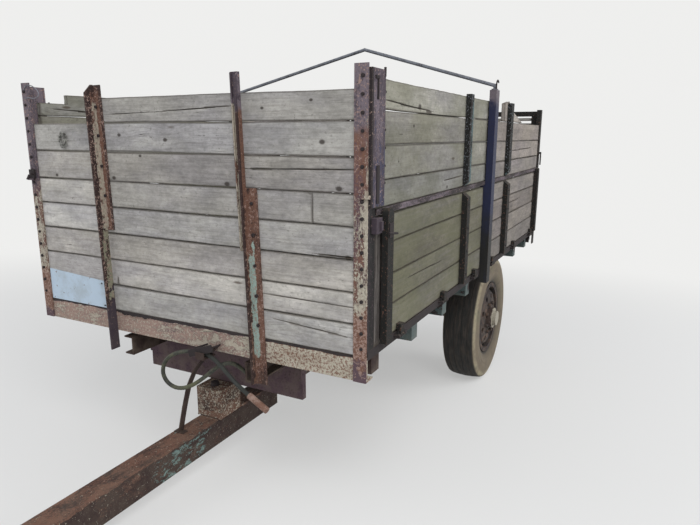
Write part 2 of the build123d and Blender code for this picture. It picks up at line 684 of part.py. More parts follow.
# Drawbar with its pedestal, and the flat ring at its end
def drawbar():
    side = DRAWBAR_WIDTH / 2
    rear = MID_CROSSMEMBER_X - DRAWBAR_REAR_REACH
    add("drawbar", block(rear, DRAWBAR_FRONT, -side, side, drawbar_bottom, drawbar_top))
    foot_rear, foot_front = CROSSMEMBER_X - PEDESTAL_REAR, CROSSMEMBER_X + PEDESTAL_AHEAD
    reach = PEDESTAL_WIDTH / 2
    add("drawbar_pedestal", block(foot_rear, foot_front, -reach, reach, drawbar_top, crossmember_bottom))
    low, high = drawbar_bottom, drawbar_bottom + EYE_THICK
    eye = block(DRAWBAR_FRONT, eye_x, -EYE_NECK, EYE_NECK, low, high)
    eye += bar((eye_x, 0, low), (eye_x, 0, high), EYE_R)
    eye -= bar((eye_x, 0, low - 1), (eye_x, 0, high + 1), EYE_BORE_R)
    add("towing_eye", eye)


# Tipping ram, drawn along x from its base pin, and the bed's clevis for its eye
def ram():
    spot = Pos(ram_base[0], 0, ram_base[1]) * Rot(0, -degrees(ram_tilt), 0)
    gland = ram_length - BARREL_SHORT
    barrel = bar((BARREL_FROM, 0, 0), (gland, 0, 0), BARREL_R)
    barrel += block(0, 60, -RAM_EYE_HALF, RAM_EYE_HALF, -RAM_EYE_R, RAM_EYE_R)
    barrel += cross_pin(0, 0, -RAM_EYE_HALF, RAM_EYE_HALF, RAM_EYE_R)
    barrel -= cross_pin(0, 0, -RAM_EYE_HALF - 1, RAM_EYE_HALF + 1, RAM_EYE_R / 2 + RUNNING)
    barrel -= bar((2 * BARREL_FROM, 0, 0), (gland + 1, 0, 0), ROD_R + SEAT)
    add("ram_barrel", spot * barrel)
    rod = bar((2 * BARREL_FROM + 10, 0, 0), (ram_length - RAM_EYE_R + 5, 0, 0), ROD_R)
    rod += cross_pin(ram_length, 0, -RAM_EYE_HALF, RAM_EYE_HALF, RAM_EYE_R)
    add("ram_rod", spot * rod)
    x, z = ram_eye
    low = z + RAM_EYE_R + EAR_ROOM
    clevis = block(x - CLEVIS_HALF, x + CLEVIS_HALF, -runner_in, runner_in, low, runner_top)
    for side in (-1, 1):
        y0, y1 = side_span(side, RAM_EYE_HALF + SIDE_GAP, RAM_EYE_HALF + SIDE_GAP + EAR)
        clevis += block(x - CLEVIS_HALF, x + CLEVIS_HALF, y0, y1, z, low)
        clevis += cross_pin(x, z, y0, y1, CLEVIS_HALF)
    add("ram_clevis", clevis)


def hanger():
    x0, x1 = HANGER_X, HANGER_X + HANGER_WIDTH
    shape = block(x0, x1, *HANGER_FOOT_Y, drawbar_top, drawbar_top + HANGER_THICK)
    line = [(y, drawbar_top + rise) for y, rise in HANGER_LINE]
    for (y0, z0), (y1, z1) in zip(line, line[1:]):
        run = hypot(y1 - y0, z1 - z0)
        tilt = degrees(atan2(y1 - y0, z1 - z0))
        strip = Box(HANGER_WIDTH, HANGER_THICK, run + 2)
        shape += Pos((x0 + x1) / 2, (y0 + y1) / 2, (z0 + z1) / 2) * Rot(-tilt, 0, 0) * strip
    y0, y1 = HANGER_HOOK_Y
    low = drawbar_top + HANGER_HOOK_RISE
    tip = HANGER_HOOK_REACH
    shape += block(x0, tip, y0, y1, low, low + HANGER_THICK)
    shape += block(tip - HANGER_THICK, tip, y0, y1, low, low + HANGER_HOOK_LIP)
    add("hose_hanger", shape)


def hose():
    points = [Vector(point) for point in HOSE_POINTS]
    runs = [after - before for before, after in zip(points, points[1:])]
    radii = []
    for before, after in zip(runs, runs[1:]):
        turn = radians(before.get_angle(after))
        radii.append(0.45 * min(before.length, after.length) / tan(turn / 2))
    path = FilletPolyline(*points, radius=radii)
    tube = sweep(Plane(origin=path @ 0, z_dir=path % 0) * Circle(HOSE_R), path=path)
    share = tube.volume / (path.length * pi * HOSE_R**2)
    print("hose radii", [round(radius) for radius in radii])
    print("hose length", round(path.length), "volume over section times length", round(share, 4))
    add("hose", tube)
    x, y, z = HOSE_EXIT
    fitting = bar((CROSSMEMBER_X, y, z), HOSE_EXIT, FITTING_R)
    collar = bar((CROSSMEMBER_X, y, z), (CROSSMEMBER_X + FITTING_R, y, z), FITTING_COLLAR_R)
    add("hose_fitting", fitting + collar)
    add("hose_coupler", bar(path @ 1, path @ 1 + (path % 1) * COUPLER_LENGTH, COUPLER_R))


for make in (
    bed_frame, front_wall, corner_posts, side_rails, side_posts, upper_boards, gates, tailgate, bow,
    wheels, axle, chassis, ram_crossmember, rear_pivot, drawbar, ram, hanger, hose,
):
    make()

# Pitch that brings the drawbar's end down to the ground under the wheels
tip_run = eye_x + EYE_R - axle_x
tip_drop = axle_z - drawbar_bottom
pitch = asin(WHEEL_R / hypot(tip_run, tip_drop)) - atan2(tip_drop, tip_run)
stand = Pos(0, 0, WHEEL_R) * Rot(0, degrees(pitch), 0) * Pos(-axle_x, 0, -axle_z)
standing = {node: [stand * shape for shape in shapes] for node, shapes in nodes.items()}
boxes = [shape.bounding_box() for shapes in standing.values() for shape in shapes]
shift_x = -(min(box.min.X for box in boxes) + max(box.max.X for box in boxes)) / 2


def place(x, y, z):
    """A point of the level body in the finished trailer's frame."""
    dx, dz = x - axle_x, z - axle_z
    along = dx * cos(pitch) + dz * sin(pitch)
    up = dz * cos(pitch) - dx * sin(pitch)
    return (along + shift_x, y, up + WHEEL_R)


os.makedirs("parts", exist_ok=True)
for node, shapes in standing.items():
    solids = [Pos(shift_x, 0, 0) * solid for shape in shapes for solid in shape.solids()]
    export_step(solids[0] if len(solids) == 1 else Compound(children=solids), f"parts/{node}.step")
print("nodes", len(standing), "pitch", round(degrees(pitch), 3), "shift", round(shift_x, 2))
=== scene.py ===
"""Looks for a worn single-axle farm trailer with a high plank body, parked on its drawbar.

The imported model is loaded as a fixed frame. Sizes are metres. Most pieces are worked out in the
trailer's level axes (x forward from the front rail, y left, z up from the rail's foot) and then
carried into the frame, which pitches the trailer nose down onto its drawbar.
"""
import json
import math
import random
from functools import cache

import bmesh
import bpy
from mathutils import Matrix, Vector


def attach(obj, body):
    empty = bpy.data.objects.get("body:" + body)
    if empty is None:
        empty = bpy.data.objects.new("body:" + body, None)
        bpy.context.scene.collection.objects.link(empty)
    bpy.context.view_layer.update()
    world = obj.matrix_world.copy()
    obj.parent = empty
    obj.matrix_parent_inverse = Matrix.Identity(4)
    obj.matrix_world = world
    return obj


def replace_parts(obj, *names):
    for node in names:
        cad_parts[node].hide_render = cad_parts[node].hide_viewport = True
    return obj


bl_info = {
    "name": "Plank-Sided Farm Trailer",
    "version": (1, 0, 0),
    "blender": (4, 5, 0),
    "location": "View3D > Sidebar > Trailer",
    "description": "Dresses a worn farm tipping trailer: planks, rusty steelwork, wheels and hose",
    "category": "Object",
}

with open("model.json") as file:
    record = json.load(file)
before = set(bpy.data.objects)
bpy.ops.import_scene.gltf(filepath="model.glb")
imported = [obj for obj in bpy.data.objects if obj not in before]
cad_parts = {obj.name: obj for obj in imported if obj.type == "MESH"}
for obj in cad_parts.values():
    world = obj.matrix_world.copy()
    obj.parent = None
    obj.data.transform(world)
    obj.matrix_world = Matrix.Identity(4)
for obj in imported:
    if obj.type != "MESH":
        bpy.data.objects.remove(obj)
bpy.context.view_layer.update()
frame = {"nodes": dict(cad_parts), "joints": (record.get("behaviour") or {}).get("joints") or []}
JOINTS = {joint["name"]: joint for joint in frame["joints"]}

# The level axes: the axle's place in them, and the pitch read from a gate's hinge line
AXLE_LEVEL = Vector((-2.420, 0.0, -0.405))
hinge_line = JOINTS["gate_front_left_drop"]["axis"]
PITCH = math.atan2(hinge_line[2], -hinge_line[0])
axle_place = Vector(JOINTS["wheel_left_spin"]["pos_m"])
WHEEL_Y = axle_place.y
AXLE_PLACE = Vector((axle_place.x, 0.0, axle_place.z))
LEVEL = Matrix.Translation(AXLE_PLACE) @ Matrix.Rotation(PITCH, 4, "Y") @ Matrix.Translation(-AXLE_LEVEL)
UNLEVEL = LEVEL.inverted()

# Body sizes that the added pieces are set against
HALF = 1.019
PLATE = 0.008
GATES = ("gate_front_left", "gate_front_right", "gate_rear_left", "gate_rear_right")
SIDES = (("left", 1), ("right", -1))
MIDDLE_POST = -1.85
FLOOR_BOARD = 0.147

# The hose's route in level millimetres, as the solid model has it
HOSE_ROUTE = [
    (-255, 300, -190), (-205, 300, -190), (-150, 302, -170), (-95, 303, -120), (-45, 295, -68),
    (0, 268, -50), (28, 225, -80), (42, 170, -130), (55, 105, -180), (68, 35, -208),
    (78, -25, -195), (84, -58, -150), (82, -55, -95), (76, -20, -45), (68, 40, -14),
    (60, 110, 2), (56, 180, 6), (60, 245, -8), (70, 305, -38), (82, 365, -75),
    (92, 425, -108), (98, 480, -132),
]
HOSE_DIAMETER = 0.020

# The photograph's viewpoint in level axes: place, and the picture's right, down and forward directions
VIEWPOINT = Vector((2.040, 1.994, 1.014))
VIEW_RIGHT = Vector((-0.45978476, 0.88802573, 0.00287569))
VIEW_DOWN = Vector((0.1889427, 0.10099019, -0.97678126))
VIEW_FORWARD = Vector((-0.86769731, -0.4485658, -0.21421973))
LENS, SENSOR, FAR_CLIP = 29.76, 36.0, 200.0

# The stage: colours, the floor's own glow near the trailer, the sky's light, and the lamps as name, place,
# power and width
BACKDROP = (0.86, 0.86, 0.85, 1.0)
FLOOR_COLOUR = (0.70, 0.70, 0.69, 1.0)
FLOOR_REACH, FLOOR_DROP, FLOOR_GLOW = 40.0, 0.001, 0.45
SKY_COLOUR, SKY_STRENGTH = (0.90, 0.93, 1.0, 1.0), 0.50
LAMPS = (
    ("key lamp", (5.5, 4.5, 6.5), 450.0, 5.0),
    ("side lamp", (-3.5, 8.0, 4.5), 330.0, 5.0),
    ("fill lamp", (4.0, -6.5, 4.0), 190.0, 6.0),
)
LAMPS_LOOK_AT = Vector((0.0, 0.0, 1.0))

# How finely boards are cut up: along the grain and across it
BOARD_STEP = 0.030
BOARD_FINE = 0.014
# Spreads the boards' own tones evenly
GOLDEN = 0.6180339887
SHARP_BOARD = math.radians(50)
# Behind the middle posts the boards are cleaner: half the length of the change, and the share of film left
CLEAN_CHANGE, CLEAN_FILM = 0.15, 0.25
SLAB_BEVEL = 0.0015
TYRE_STEPS = 96
# The wheel nuts: their circle, and how far out from the wheel's middle they sit
NUTS_R, NUTS_OUT = 0.118, 0.107


# Sizes and colours that a user would change
def size(name, note, default, low, high):
    return bpy.props.FloatProperty(
        name=name, description=note, default=default, min=low, max=high, unit="LENGTH", precision=4
    )


def tint(name, note, *rgb):
    return bpy.props.FloatVectorProperty(
        name=name, description=note, default=rgb, size=3, min=0.0, max=1.0, subtype="COLOR"
    )


class TrailerSizes(bpy.types.PropertyGroup):
    """Sizes of the wear and of the small fastenings"""

    plank_wear: size("Plank wear", "How far a plank's edges are worn round", 0.0022, 0.0, 0.006)
    plank_wander: size("Plank wander", "How far a plank's edges stray from straight", 0.0045, 0.0, 0.008)
    plank_relief: size("Plank relief", "Depth of the weathered grain in the planks", 0.0012, 0.0, 0.004)
    bolt_radius: size("Bolt radius", "Radius of a coach bolt's head", 0.0078, 0.004, 0.015)
    bolt_height: size("Bolt height", "How far a coach bolt's head stands out", 0.006, 0.002, 0.012)
    weld_radius: size("Weld radius", "Radius of a weld bead", 0.0045, 0.002, 0.01)


class TrailerColours(bpy.types.PropertyGroup):
    """Colours of the timber, paint and rust"""

    timber_pale: tint("Pale timber", "Sun-bleached face of the planks", 0.348, 0.338, 0.316)
    timber_dark: tint("Dark timber", "Darker streaks of the planks", 0.165, 0.155, 0.140)
    timber_green: tint("Algae", "Green film on the side planks", 0.112, 0.112, 0.064)
    timber_side: tint("Side timber", "Pale face of the side planks", 0.280, 0.274, 0.242)
    rust_deep: tint("Deep rust", "Old dark rust", 0.034, 0.020, 0.018)
    rust_bright: tint("Bright rust", "Fresh orange rust", 0.150, 0.076, 0.052)
    primer: tint("Primer", "Purple-brown primer under the paint", 0.086, 0.053, 0.066)
    iron_dark: tint("Dark iron", "Bolts, latches and hooks", 0.024, 0.019, 0.020)
    timber_clean: tint("Clean timber", "Pinkish planks behind the middle posts", 0.285, 0.255, 0.230)
    timber_gate: tint("Gate timber", "Pale face of the gates' planks", 0.126, 0.120, 0.086)
    rust_pink: tint("Pink rust", "Pale pinkish scale on the front rail", 0.300, 0.205, 0.170)
    post_purple: tint("Purple post", "Dark purple of the corner posts", 0.050, 0.038, 0.048)
    post_lilac: tint("Lilac post", "Greyish lilac that shows at the corner posts", 0.150, 0.122, 0.140)
    paint_worn: tint("Worn paint", "Greenish cream low on the left upright", 0.290, 0.290, 0.200)
    paint_pale: tint("Pale turquoise", "Turquoise streak on the right upright", 0.330, 0.470, 0.420)
    paint_sea: tint("Bearer paint", "Dull blue-green of the cross bearers", 0.070, 0.125, 0.128)
    hoop_grey: tint("Hoop", "Grey steel of the hoop over the body", 0.170, 0.180, 0.205)
    paint_cream: tint("Cream paint", "Remnants of cream paint", 0.430, 0.400, 0.320)
    paint_turquoise: tint("Turquoise paint", "Remnants of turquoise paint", 0.165, 0.270, 0.250)
    paint_navy: tint("Navy paint", "Dark blue paint on the middle posts", 0.013, 0.018, 0.058)
    patch_blue: tint("Patch sheet", "Pale blue sheet on the front wall", 0.430, 0.530, 0.630)
    rubber: tint("Rubber", "Old tyre rubber", 0.011, 0.011, 0.010)
    mud: tint("Mud", "Dry mud on the tyres' walls", 0.150, 0.120, 0.082)
    mud_pale: tint("Pale mud", "Paler mud along the tyres' shoulders", 0.330, 0.285, 0.190)
    dust: tint("Dust", "Dry earth on the lower parts", 0.250, 0.205, 0.150)


def sizes():
    return bpy.context.scene.trailer_sizes


def colour(name):
    return (*getattr(bpy.context.scene.trailer_colours, name), 1.0)


# Helpers for node trees
class Wire:
    """A node's output. A sum or product with one puts a math node into its tree."""

    def __init__(self, socket):
        self.socket = socket

    def __add__(self, other):
        return calc("ADD", self, other)

    def __sub__(self, other):
        return calc("SUBTRACT", self, other)

    def __rsub__(self, other):
        return calc("SUBTRACT", other, self)

    def __mul__(self, other):
        return calc("MULTIPLY", self, other)

    def __truediv__(self, other):
        return calc("DIVIDE", self, other)

    def __abs__(self):
        return calc("ABSOLUTE", self)


def tree_of(*values):
    return next(value.socket.id_data for value in values if isinstance(value, Wire))


def wires(item):
    """All outputs of a node by their names."""
    return {socket.name: Wire(socket) for socket in item.outputs}


def link(start, end):
    tree_of(start).links.new(start.socket, end)


def put(tree, kind, inputs=None, **settings):
    """Adds a node, sets its properties, and fills or links its inputs."""
    item = tree.nodes.new(kind)
    for key, value in settings.items():
        setattr(item, key, value)
    for key, value in (inputs or {}).items():
        if isinstance(value, Wire):
            link(value, item.inputs[key])
        elif value is not None:
            item.inputs[key].default_value = value
    return item


def node(tree, kind, inputs=None, output=0, **settings):
    """The same, but gives one of the new node's outputs."""
    return Wire(put(tree, kind, inputs, **settings).outputs[output])


def calc(operation, first, second=None, clamp=False):
    values = {0: first, 1: second}
    return node(tree_of(first, second), "ShaderNodeMath", values, operation=operation, use_clamp=clamp)


def spread(value, low, high, start=0.0, end=1.0):
    """A smooth change from start to end while value goes from low to high."""
    values = {"Value": value, "From Min": low, "From Max": high, "To Min": start, "To Max": end}
    return node(tree_of(value), "ShaderNodeMapRange", values, "Result", interpolation_type="SMOOTHSTEP")


def blend(mask, under, over, mode="MIX"):
    values = {0: mask, 6: under, 7: over}
    return node(tree_of(mask, under, over), "ShaderNodeMix", values, 2, data_type="RGBA", blend_type=mode)


def layered(base, *layers):
    """Lays colours over a base, each through its mask."""
    for mask, shade in layers:
        base = blend(mask, base, shade)
    return base


def vector(operation, first, second=None, output="Vector"):
    return node(tree_of(first), "ShaderNodeVectorMath", {0: first, 1: second}, output, operation=operation)


def scaled(place, factor):
    return node(tree_of(place), "ShaderNodeVectorMath", {0: place, 3: factor}, operation="SCALE")


def stretch(place, *scale):
    return vector("MULTIPLY", place, scale)


def length(place):
    return vector("LENGTH", place, output="Value")


def axes(place):
    """The x, y and z of a vector."""
    return list(wires(put(tree_of(place), "ShaderNodeSeparateXYZ", {0: place})).values())


def speckle(place, scale, detail, roughness, distortion=0.0, output=0):
    values = {"Vector": place, "Scale": scale, "Detail": detail, "Roughness": roughness}
    return node(tree_of(place), "ShaderNodeTexNoise", {**values, "Distortion": distortion}, output)


def cells(place, scale):
    """The distance to the middle of the nearest of scattered cells."""
    return node(tree_of(place), "ShaderNodeTexVoronoi", {"Vector": place, "Scale": scale}, "Distance")


def attribute(tree, name):
    return node(tree, "ShaderNodeAttribute", output="Fac", attribute_name=name)


VECTOR, FLOAT, COLOUR = "NodeSocketVector", "NodeSocketFloat", "NodeSocketColor"
WHOLE, MATERIAL, GEOMETRY = "NodeSocketInt", "NodeSocketMaterial", "NodeSocketGeometry"
SURFACE = {"Color": COLOUR, "Roughness": FLOAT, "Height": FLOAT}


def group(name, kind, ins, outs):
    """A node group with named inputs and outputs: its tree, what it has, and what it gives out."""
    tree = bpy.data.node_groups.new(name, kind)
    for direction, sockets in (("INPUT", ins), ("OUTPUT", outs)):
        for label, form in sockets.items():
            tree.interface.new_socket(name=label, in_out=direction, socket_type=form)
    return tree, wires(tree.nodes.new("NodeGroupInput")), tree.nodes.new("NodeGroupOutput").inputs


# Shader groups that several materials share
@cache
def timber_group():
    """Weathered timber with its grain along X."""
    tree, have, give = group("weathered timber", "ShaderNodeTree", {
        "Vector": VECTOR, "Pale": COLOUR, "Dark": COLOUR, "Film": COLOUR, "Film Cover": FLOAT,
        "Streaks": FLOAT,
    }, SURFACE)
    pale, dark = have["Pale"], have["Dark"]
    # Every board starts somewhere else, and the grain bends round its knots
    board = attribute(tree, "board")
    shift = node(tree, "ShaderNodeCombineXYZ", {0: board * 37.0, 2: board * 11.0})
    place = vector("ADD", have["Vector"], shift)
    knots = cells(stretch(place, 1.3, 1.0, 5.0), 1.0)
    knot = spread(knots, 0.022, 0.048, 1.0, 0.0)
    lift = node(tree, "ShaderNodeCombineXYZ", {2: spread(knots, 0.0, 0.26, 0.030, 0.0)})
    bent = vector("ADD", place, lift)
    fine = speckle(stretch(bent, 8.0, 320.0, 320.0), 1.0, 5.0, 0.72)
    broad = speckle(stretch(bent, 3.5, 85.0, 85.0), 1.0, 6.0, 0.68)
    cloud = speckle(stretch(place, 3.6, 8.0, 8.0), 1.0, 8.0, 0.74)
    stain = speckle(stretch(place, 1.2, 3.0, 3.0), 1.0, 6.0, 0.66)
    split = speckle(stretch(bent, 0.8, 30.0, 30.0), 1.0, 2.0, 0.4)
    crack = spread(abs(split - 0.5), 0.001, 0.006, 1.0, 0.0) * spread(cloud, 0.56, 0.62)
    # Streaks of the grain, with pale lint between them
    base = blend(spread(broad, 0.42, 0.70) * have["Streaks"], pale, dark)
    base = layered(
        base, (spread(fine, 0.50, 0.72) * 0.50, dark),
        (spread(fine, 0.46, 0.30) * 0.25, blend(0.5, pale, (0.62, 0.61, 0.58, 1.0))),
    )
    # Each board's own lightness and warmth, clouds, blotches and cool stains
    blotch = speckle(stretch(place, 26.0, 44.0, 44.0), 1.0, 7.0, 0.78)
    tone = spread(board, 0.0, 1.0, 0.90, 1.10) * spread(cloud, 0.30, 0.70, 0.72, 1.18)
    base = scaled(base, tone * spread(blotch, 0.32, 0.68, 0.84, 1.15))
    cool = blend(1.0, base, (0.84, 0.84, 0.90, 1.0), "MULTIPLY")
    base = blend(spread(stain, 0.40, 0.60), base, cool)
    warm = blend(1.0, base, (1.0, 0.88, 0.74, 1.0), "MULTIPLY")
    base = blend(spread(calc("FRACT", board * 7.3), 0.0, 1.0, 0.0, 0.30), base, warm)
    # Algae, specks, knots, cracks and dirty rims
    film = speckle(stretch(place, 1.4, 4.0, 4.0), 1.0, 6.0, 0.65)
    specks = speckle(stretch(place, 0.7, 1.0, 1.0), 62.0, 4.0, 0.7)
    base = layered(
        base, (spread(film, 0.34, 0.60) * have["Film Cover"], have["Film"]),
        (spread(specks, 0.575, 0.66) * spread(cloud, 0.35, 0.60, 0.10, 0.45), (0.060, 0.056, 0.048, 1.0)),
        (knot * 0.75, (0.055, 0.038, 0.026, 1.0)), (crack * 0.75, (0.030, 0.025, 0.020, 1.0)),
        (
            spread(attribute(tree, "rim"), 0.45, 1.0) * spread(cloud, 0.30, 0.62, 0.40, 0.85),
            (0.045, 0.038, 0.030, 1.0),
        ),
    )
    link(base, give["Color"])
    link(spread(fine, 0.3, 0.8, 0.78, 0.97), give["Roughness"])
    link(fine * -0.5 - crack + broad * -0.6 - knot * 0.4, give["Height"])
    return tree


@cache
def rust_group():
    """Rust in two colours under flaking paint, drawn out where Run is under one."""
    tree, have, give = group("rust and old paint", "ShaderNodeTree", {
        "Vector": VECTOR, "Deep": COLOUR, "Bright": COLOUR, "Paint": COLOUR, "Cover": FLOAT,
        "Flake Size": FLOAT, "Bright Share": FLOAT, "Fleck": COLOUR, "Fleck Cover": FLOAT, "Run": VECTOR,
    }, SURFACE)
    place, deep = have["Vector"], have["Deep"]
    drawn = vector("MULTIPLY", place, have["Run"])
    broad = speckle(drawn, 11.0, 9.0, 0.72, 0.2)
    fine = speckle(place, 110.0, 6.0, 0.75)
    level = broad * 0.58 + fine * 0.42
    base = blend(spread(level - (0.86 - have["Bright Share"] * 0.72), -0.060, 0.070), deep, have["Bright"])
    pit = spread(cells(place, 210.0), 0.10, 0.42, 1.0, 0.0) * spread(broad, 0.42, 0.60)
    base = blend(pit * 0.55, base, deep)
    # Paint that has flaked, with grime on it and a dark line at its edge
    flake = speckle(drawn, have["Flake Size"], 10.0, 0.76, 0.1) + (fine - 0.5) * 0.22
    edge = flake - (0.70 - have["Cover"] * 0.42)
    paint = spread(edge, 0.0, 0.022)
    chip = spread(edge, -0.025, 0.0) * spread(edge, 0.0, 0.012, 1.0, 0.0)
    grime = blend(spread(fine, 0.35, 0.75, 0.45, 0.0), have["Paint"], base)
    dots = speckle(place, 85.0, 6.0, 0.78) - (0.72 - have["Fleck Cover"] * 0.36)
    fleck = spread(dots, 0.0, 0.03) * spread(broad, 0.30, 0.52, 0.35, 1.0)
    link(layered(base, (chip * 0.7, deep), (paint, grime), (fleck, have["Fleck"])), give["Color"])
    link(spread(fine, 0.3, 0.7, 0.78, 0.95) - paint * 0.22, give["Roughness"])
    link(fine * 0.45 + paint * 0.55 - pit * 0.35, give["Height"])
    return tree


@cache
def dust_group():
    """Dry earth that settles low down and on faces that look up."""
    tree, have, give = group("dust", "ShaderNodeTree", {
        "Vector": VECTOR, "Color": COLOUR, "Dust": COLOUR, "Amount": FLOAT, "Top": FLOAT,
    }, {"Color": COLOUR})
    place = have["Vector"]
    ground = spread(axes(place)[2] - have["Top"], -0.55, 0.0, 1.0, 0.0)
    facing = axes(node(tree, "ShaderNodeNewGeometry", output="Normal"))[2]
    settle = calc("ADD", ground, spread(facing, 0.35, 0.95), True)
    patchy = spread(speckle(place, 11.0, 7.0, 0.65), 0.35, 0.62)
    link(blend(settle * patchy * have["Amount"], have["Color"], have["Dust"]), give["Color"])
    return tree


@cache
def edge_group():
    """Worn edges: a mask, and a normal that rounds the edges."""
    ins = {"Radius": FLOAT, "Vector": VECTOR}
    tree, have, give = group("worn edges", "ShaderNodeTree", ins, {"Mask": FLOAT, "Normal": VECTOR})
    rounded = node(tree, "ShaderNodeBevel", {"Radius": have["Radius"]}, samples=4)
    flat = node(tree, "ShaderNodeNewGeometry", output="True Normal")
    bare = spread(vector("DOT_PRODUCT", rounded, flat, "Value"), 0.80, 0.995, 1.0, 0.0)
    link(bare * spread(speckle(have["Vector"], 26.0, 5.0, 0.7), 0.38, 0.5), give["Mask"])
    link(rounded, give["Normal"])
    return tree


def level_axes(tree, turn=None):
    """Object coordinates carried into the level axes, and turned so that the grain runs along X."""
    spot = node(tree, "ShaderNodeTexCoord", output="Object")
    values = {"Vector": spot, "Location": LEVEL.translation, "Rotation": (0.0, PITCH, 0.0)}
    level = node(tree, "ShaderNodeMapping", values, vector_type="TEXTURE")
    return node(tree, "ShaderNodeMapping", {"Vector": level, "Rotation": turn}) if turn else level


def background_rays(tree):
    """One for the rays that should meet the plain background."""
    rays = wires(put(tree, "ShaderNodeLightPath"))
    seen = calc("MAXIMUM", rays["Is Camera Ray"], rays["Is Glossy Ray"])
    return calc("MAXIMUM", seen, rays["Is Transmission Ray"])


def new_material(name):
    material = bpy.data.materials.new(name)
    material.use_nodes = True
    tree = material.node_tree
    tree.nodes.clear()
    shader = tree.nodes.new("ShaderNodeBsdfPrincipled")
    tree.links.new(shader.outputs[0], tree.nodes.new("ShaderNodeOutputMaterial").inputs[0])
    return material, tree, shader


def finish_surface(shader, base, rough, height=None, depth=None, normal=None):
    link(base, shader.inputs["Base Color"])
    link(rough, shader.inputs["Roughness"])
    if height:
        values = {"Height": height, "Distance": depth, "Strength": 1.0, "Normal": normal}
        link(node(tree_of(base), "ShaderNodeBump", values), shader.inputs["Normal"])


def dusted(base, level, amount, top):
    """The base colour with dust on it."""
    values = {"Vector": level, "Color": base, "Dust": colour("dust"), "Amount": amount, "Top": top}
    return node(tree_of(base), "ShaderNodeGroup", values, node_tree=dust_group())


def knot_marks(level, spots, flat):
    """One in the middle of each measured knot; flat leaves out the direction through the board."""
    mask = 0.0
    for *spot, radius in spots:
        away = length(stretch(vector("SUBTRACT", level, spot), *flat))
        mask = calc("MAXIMUM", spread(away, radius * 0.45, radius, 1.0, 0.0), mask)
    return mask


def band_mask(parts, limits):
    """Where a place lies between every pair of limits."""
    mask = 1.0
    for axis, low, high, soft in limits:
        inside = spread(parts[axis], low - soft, low) * spread(parts[axis], high, high + soft, 1.0, 0.0)
        mask = inside * mask
    return mask


def timber(name, turn=None, film=0.0, pale="timber_pale", dark="timber_dark", streaks=0.45, dust=0.35,
           top=0.35, knots=(), flat=(1, 1, 1), joints=None, tones=(), clean_from=None):
    """A timber finish; behind clean_from the boards are cleaner, with less film."""
    material, tree, shader = new_material(name)
    level = level_axes(tree)
    parts = axes(level)
    face, cover = colour(pale), film
    if clean_from:
        limits = clean_from - CLEAN_CHANGE, clean_from + CLEAN_CHANGE
        face = blend(spread(parts[0], *limits), colour("timber_clean"), face)
        cover = spread(parts[0], *limits, film * CLEAN_FILM, film)
    wood = wires(put(tree, "ShaderNodeGroup", {
        "Vector": level_axes(tree, turn), "Pale": face, "Dark": colour(dark), "Streaks": streaks,
        "Film": colour("timber_green"), "Film Cover": cover,
    }, node_tree=timber_group()))
    base = wood["Color"]
    if tones:
        gain = 1.0
        for change, limits in tones:
            gain = band_mask(parts, limits) * change + gain
        base = scaled(base, gain)
    if knots:
        base = blend(knot_marks(level, knots, flat) * 0.85, base, (0.030, 0.022, 0.018, 1.0))
    if joints:
        axis, spacing = joints
        line = abs(calc("FRACT", parts[axis] / spacing) - 0.5)
        base = blend(spread(line, 0.476, 0.490), base, (0.020, 0.017, 0.014, 1.0))
    finish_surface(shader, dusted(base, level, dust, top), wood["Roughness"], wood["Height"], 0.0014)
    shader.inputs["Specular IOR Level"].default_value = 0.25
    return material


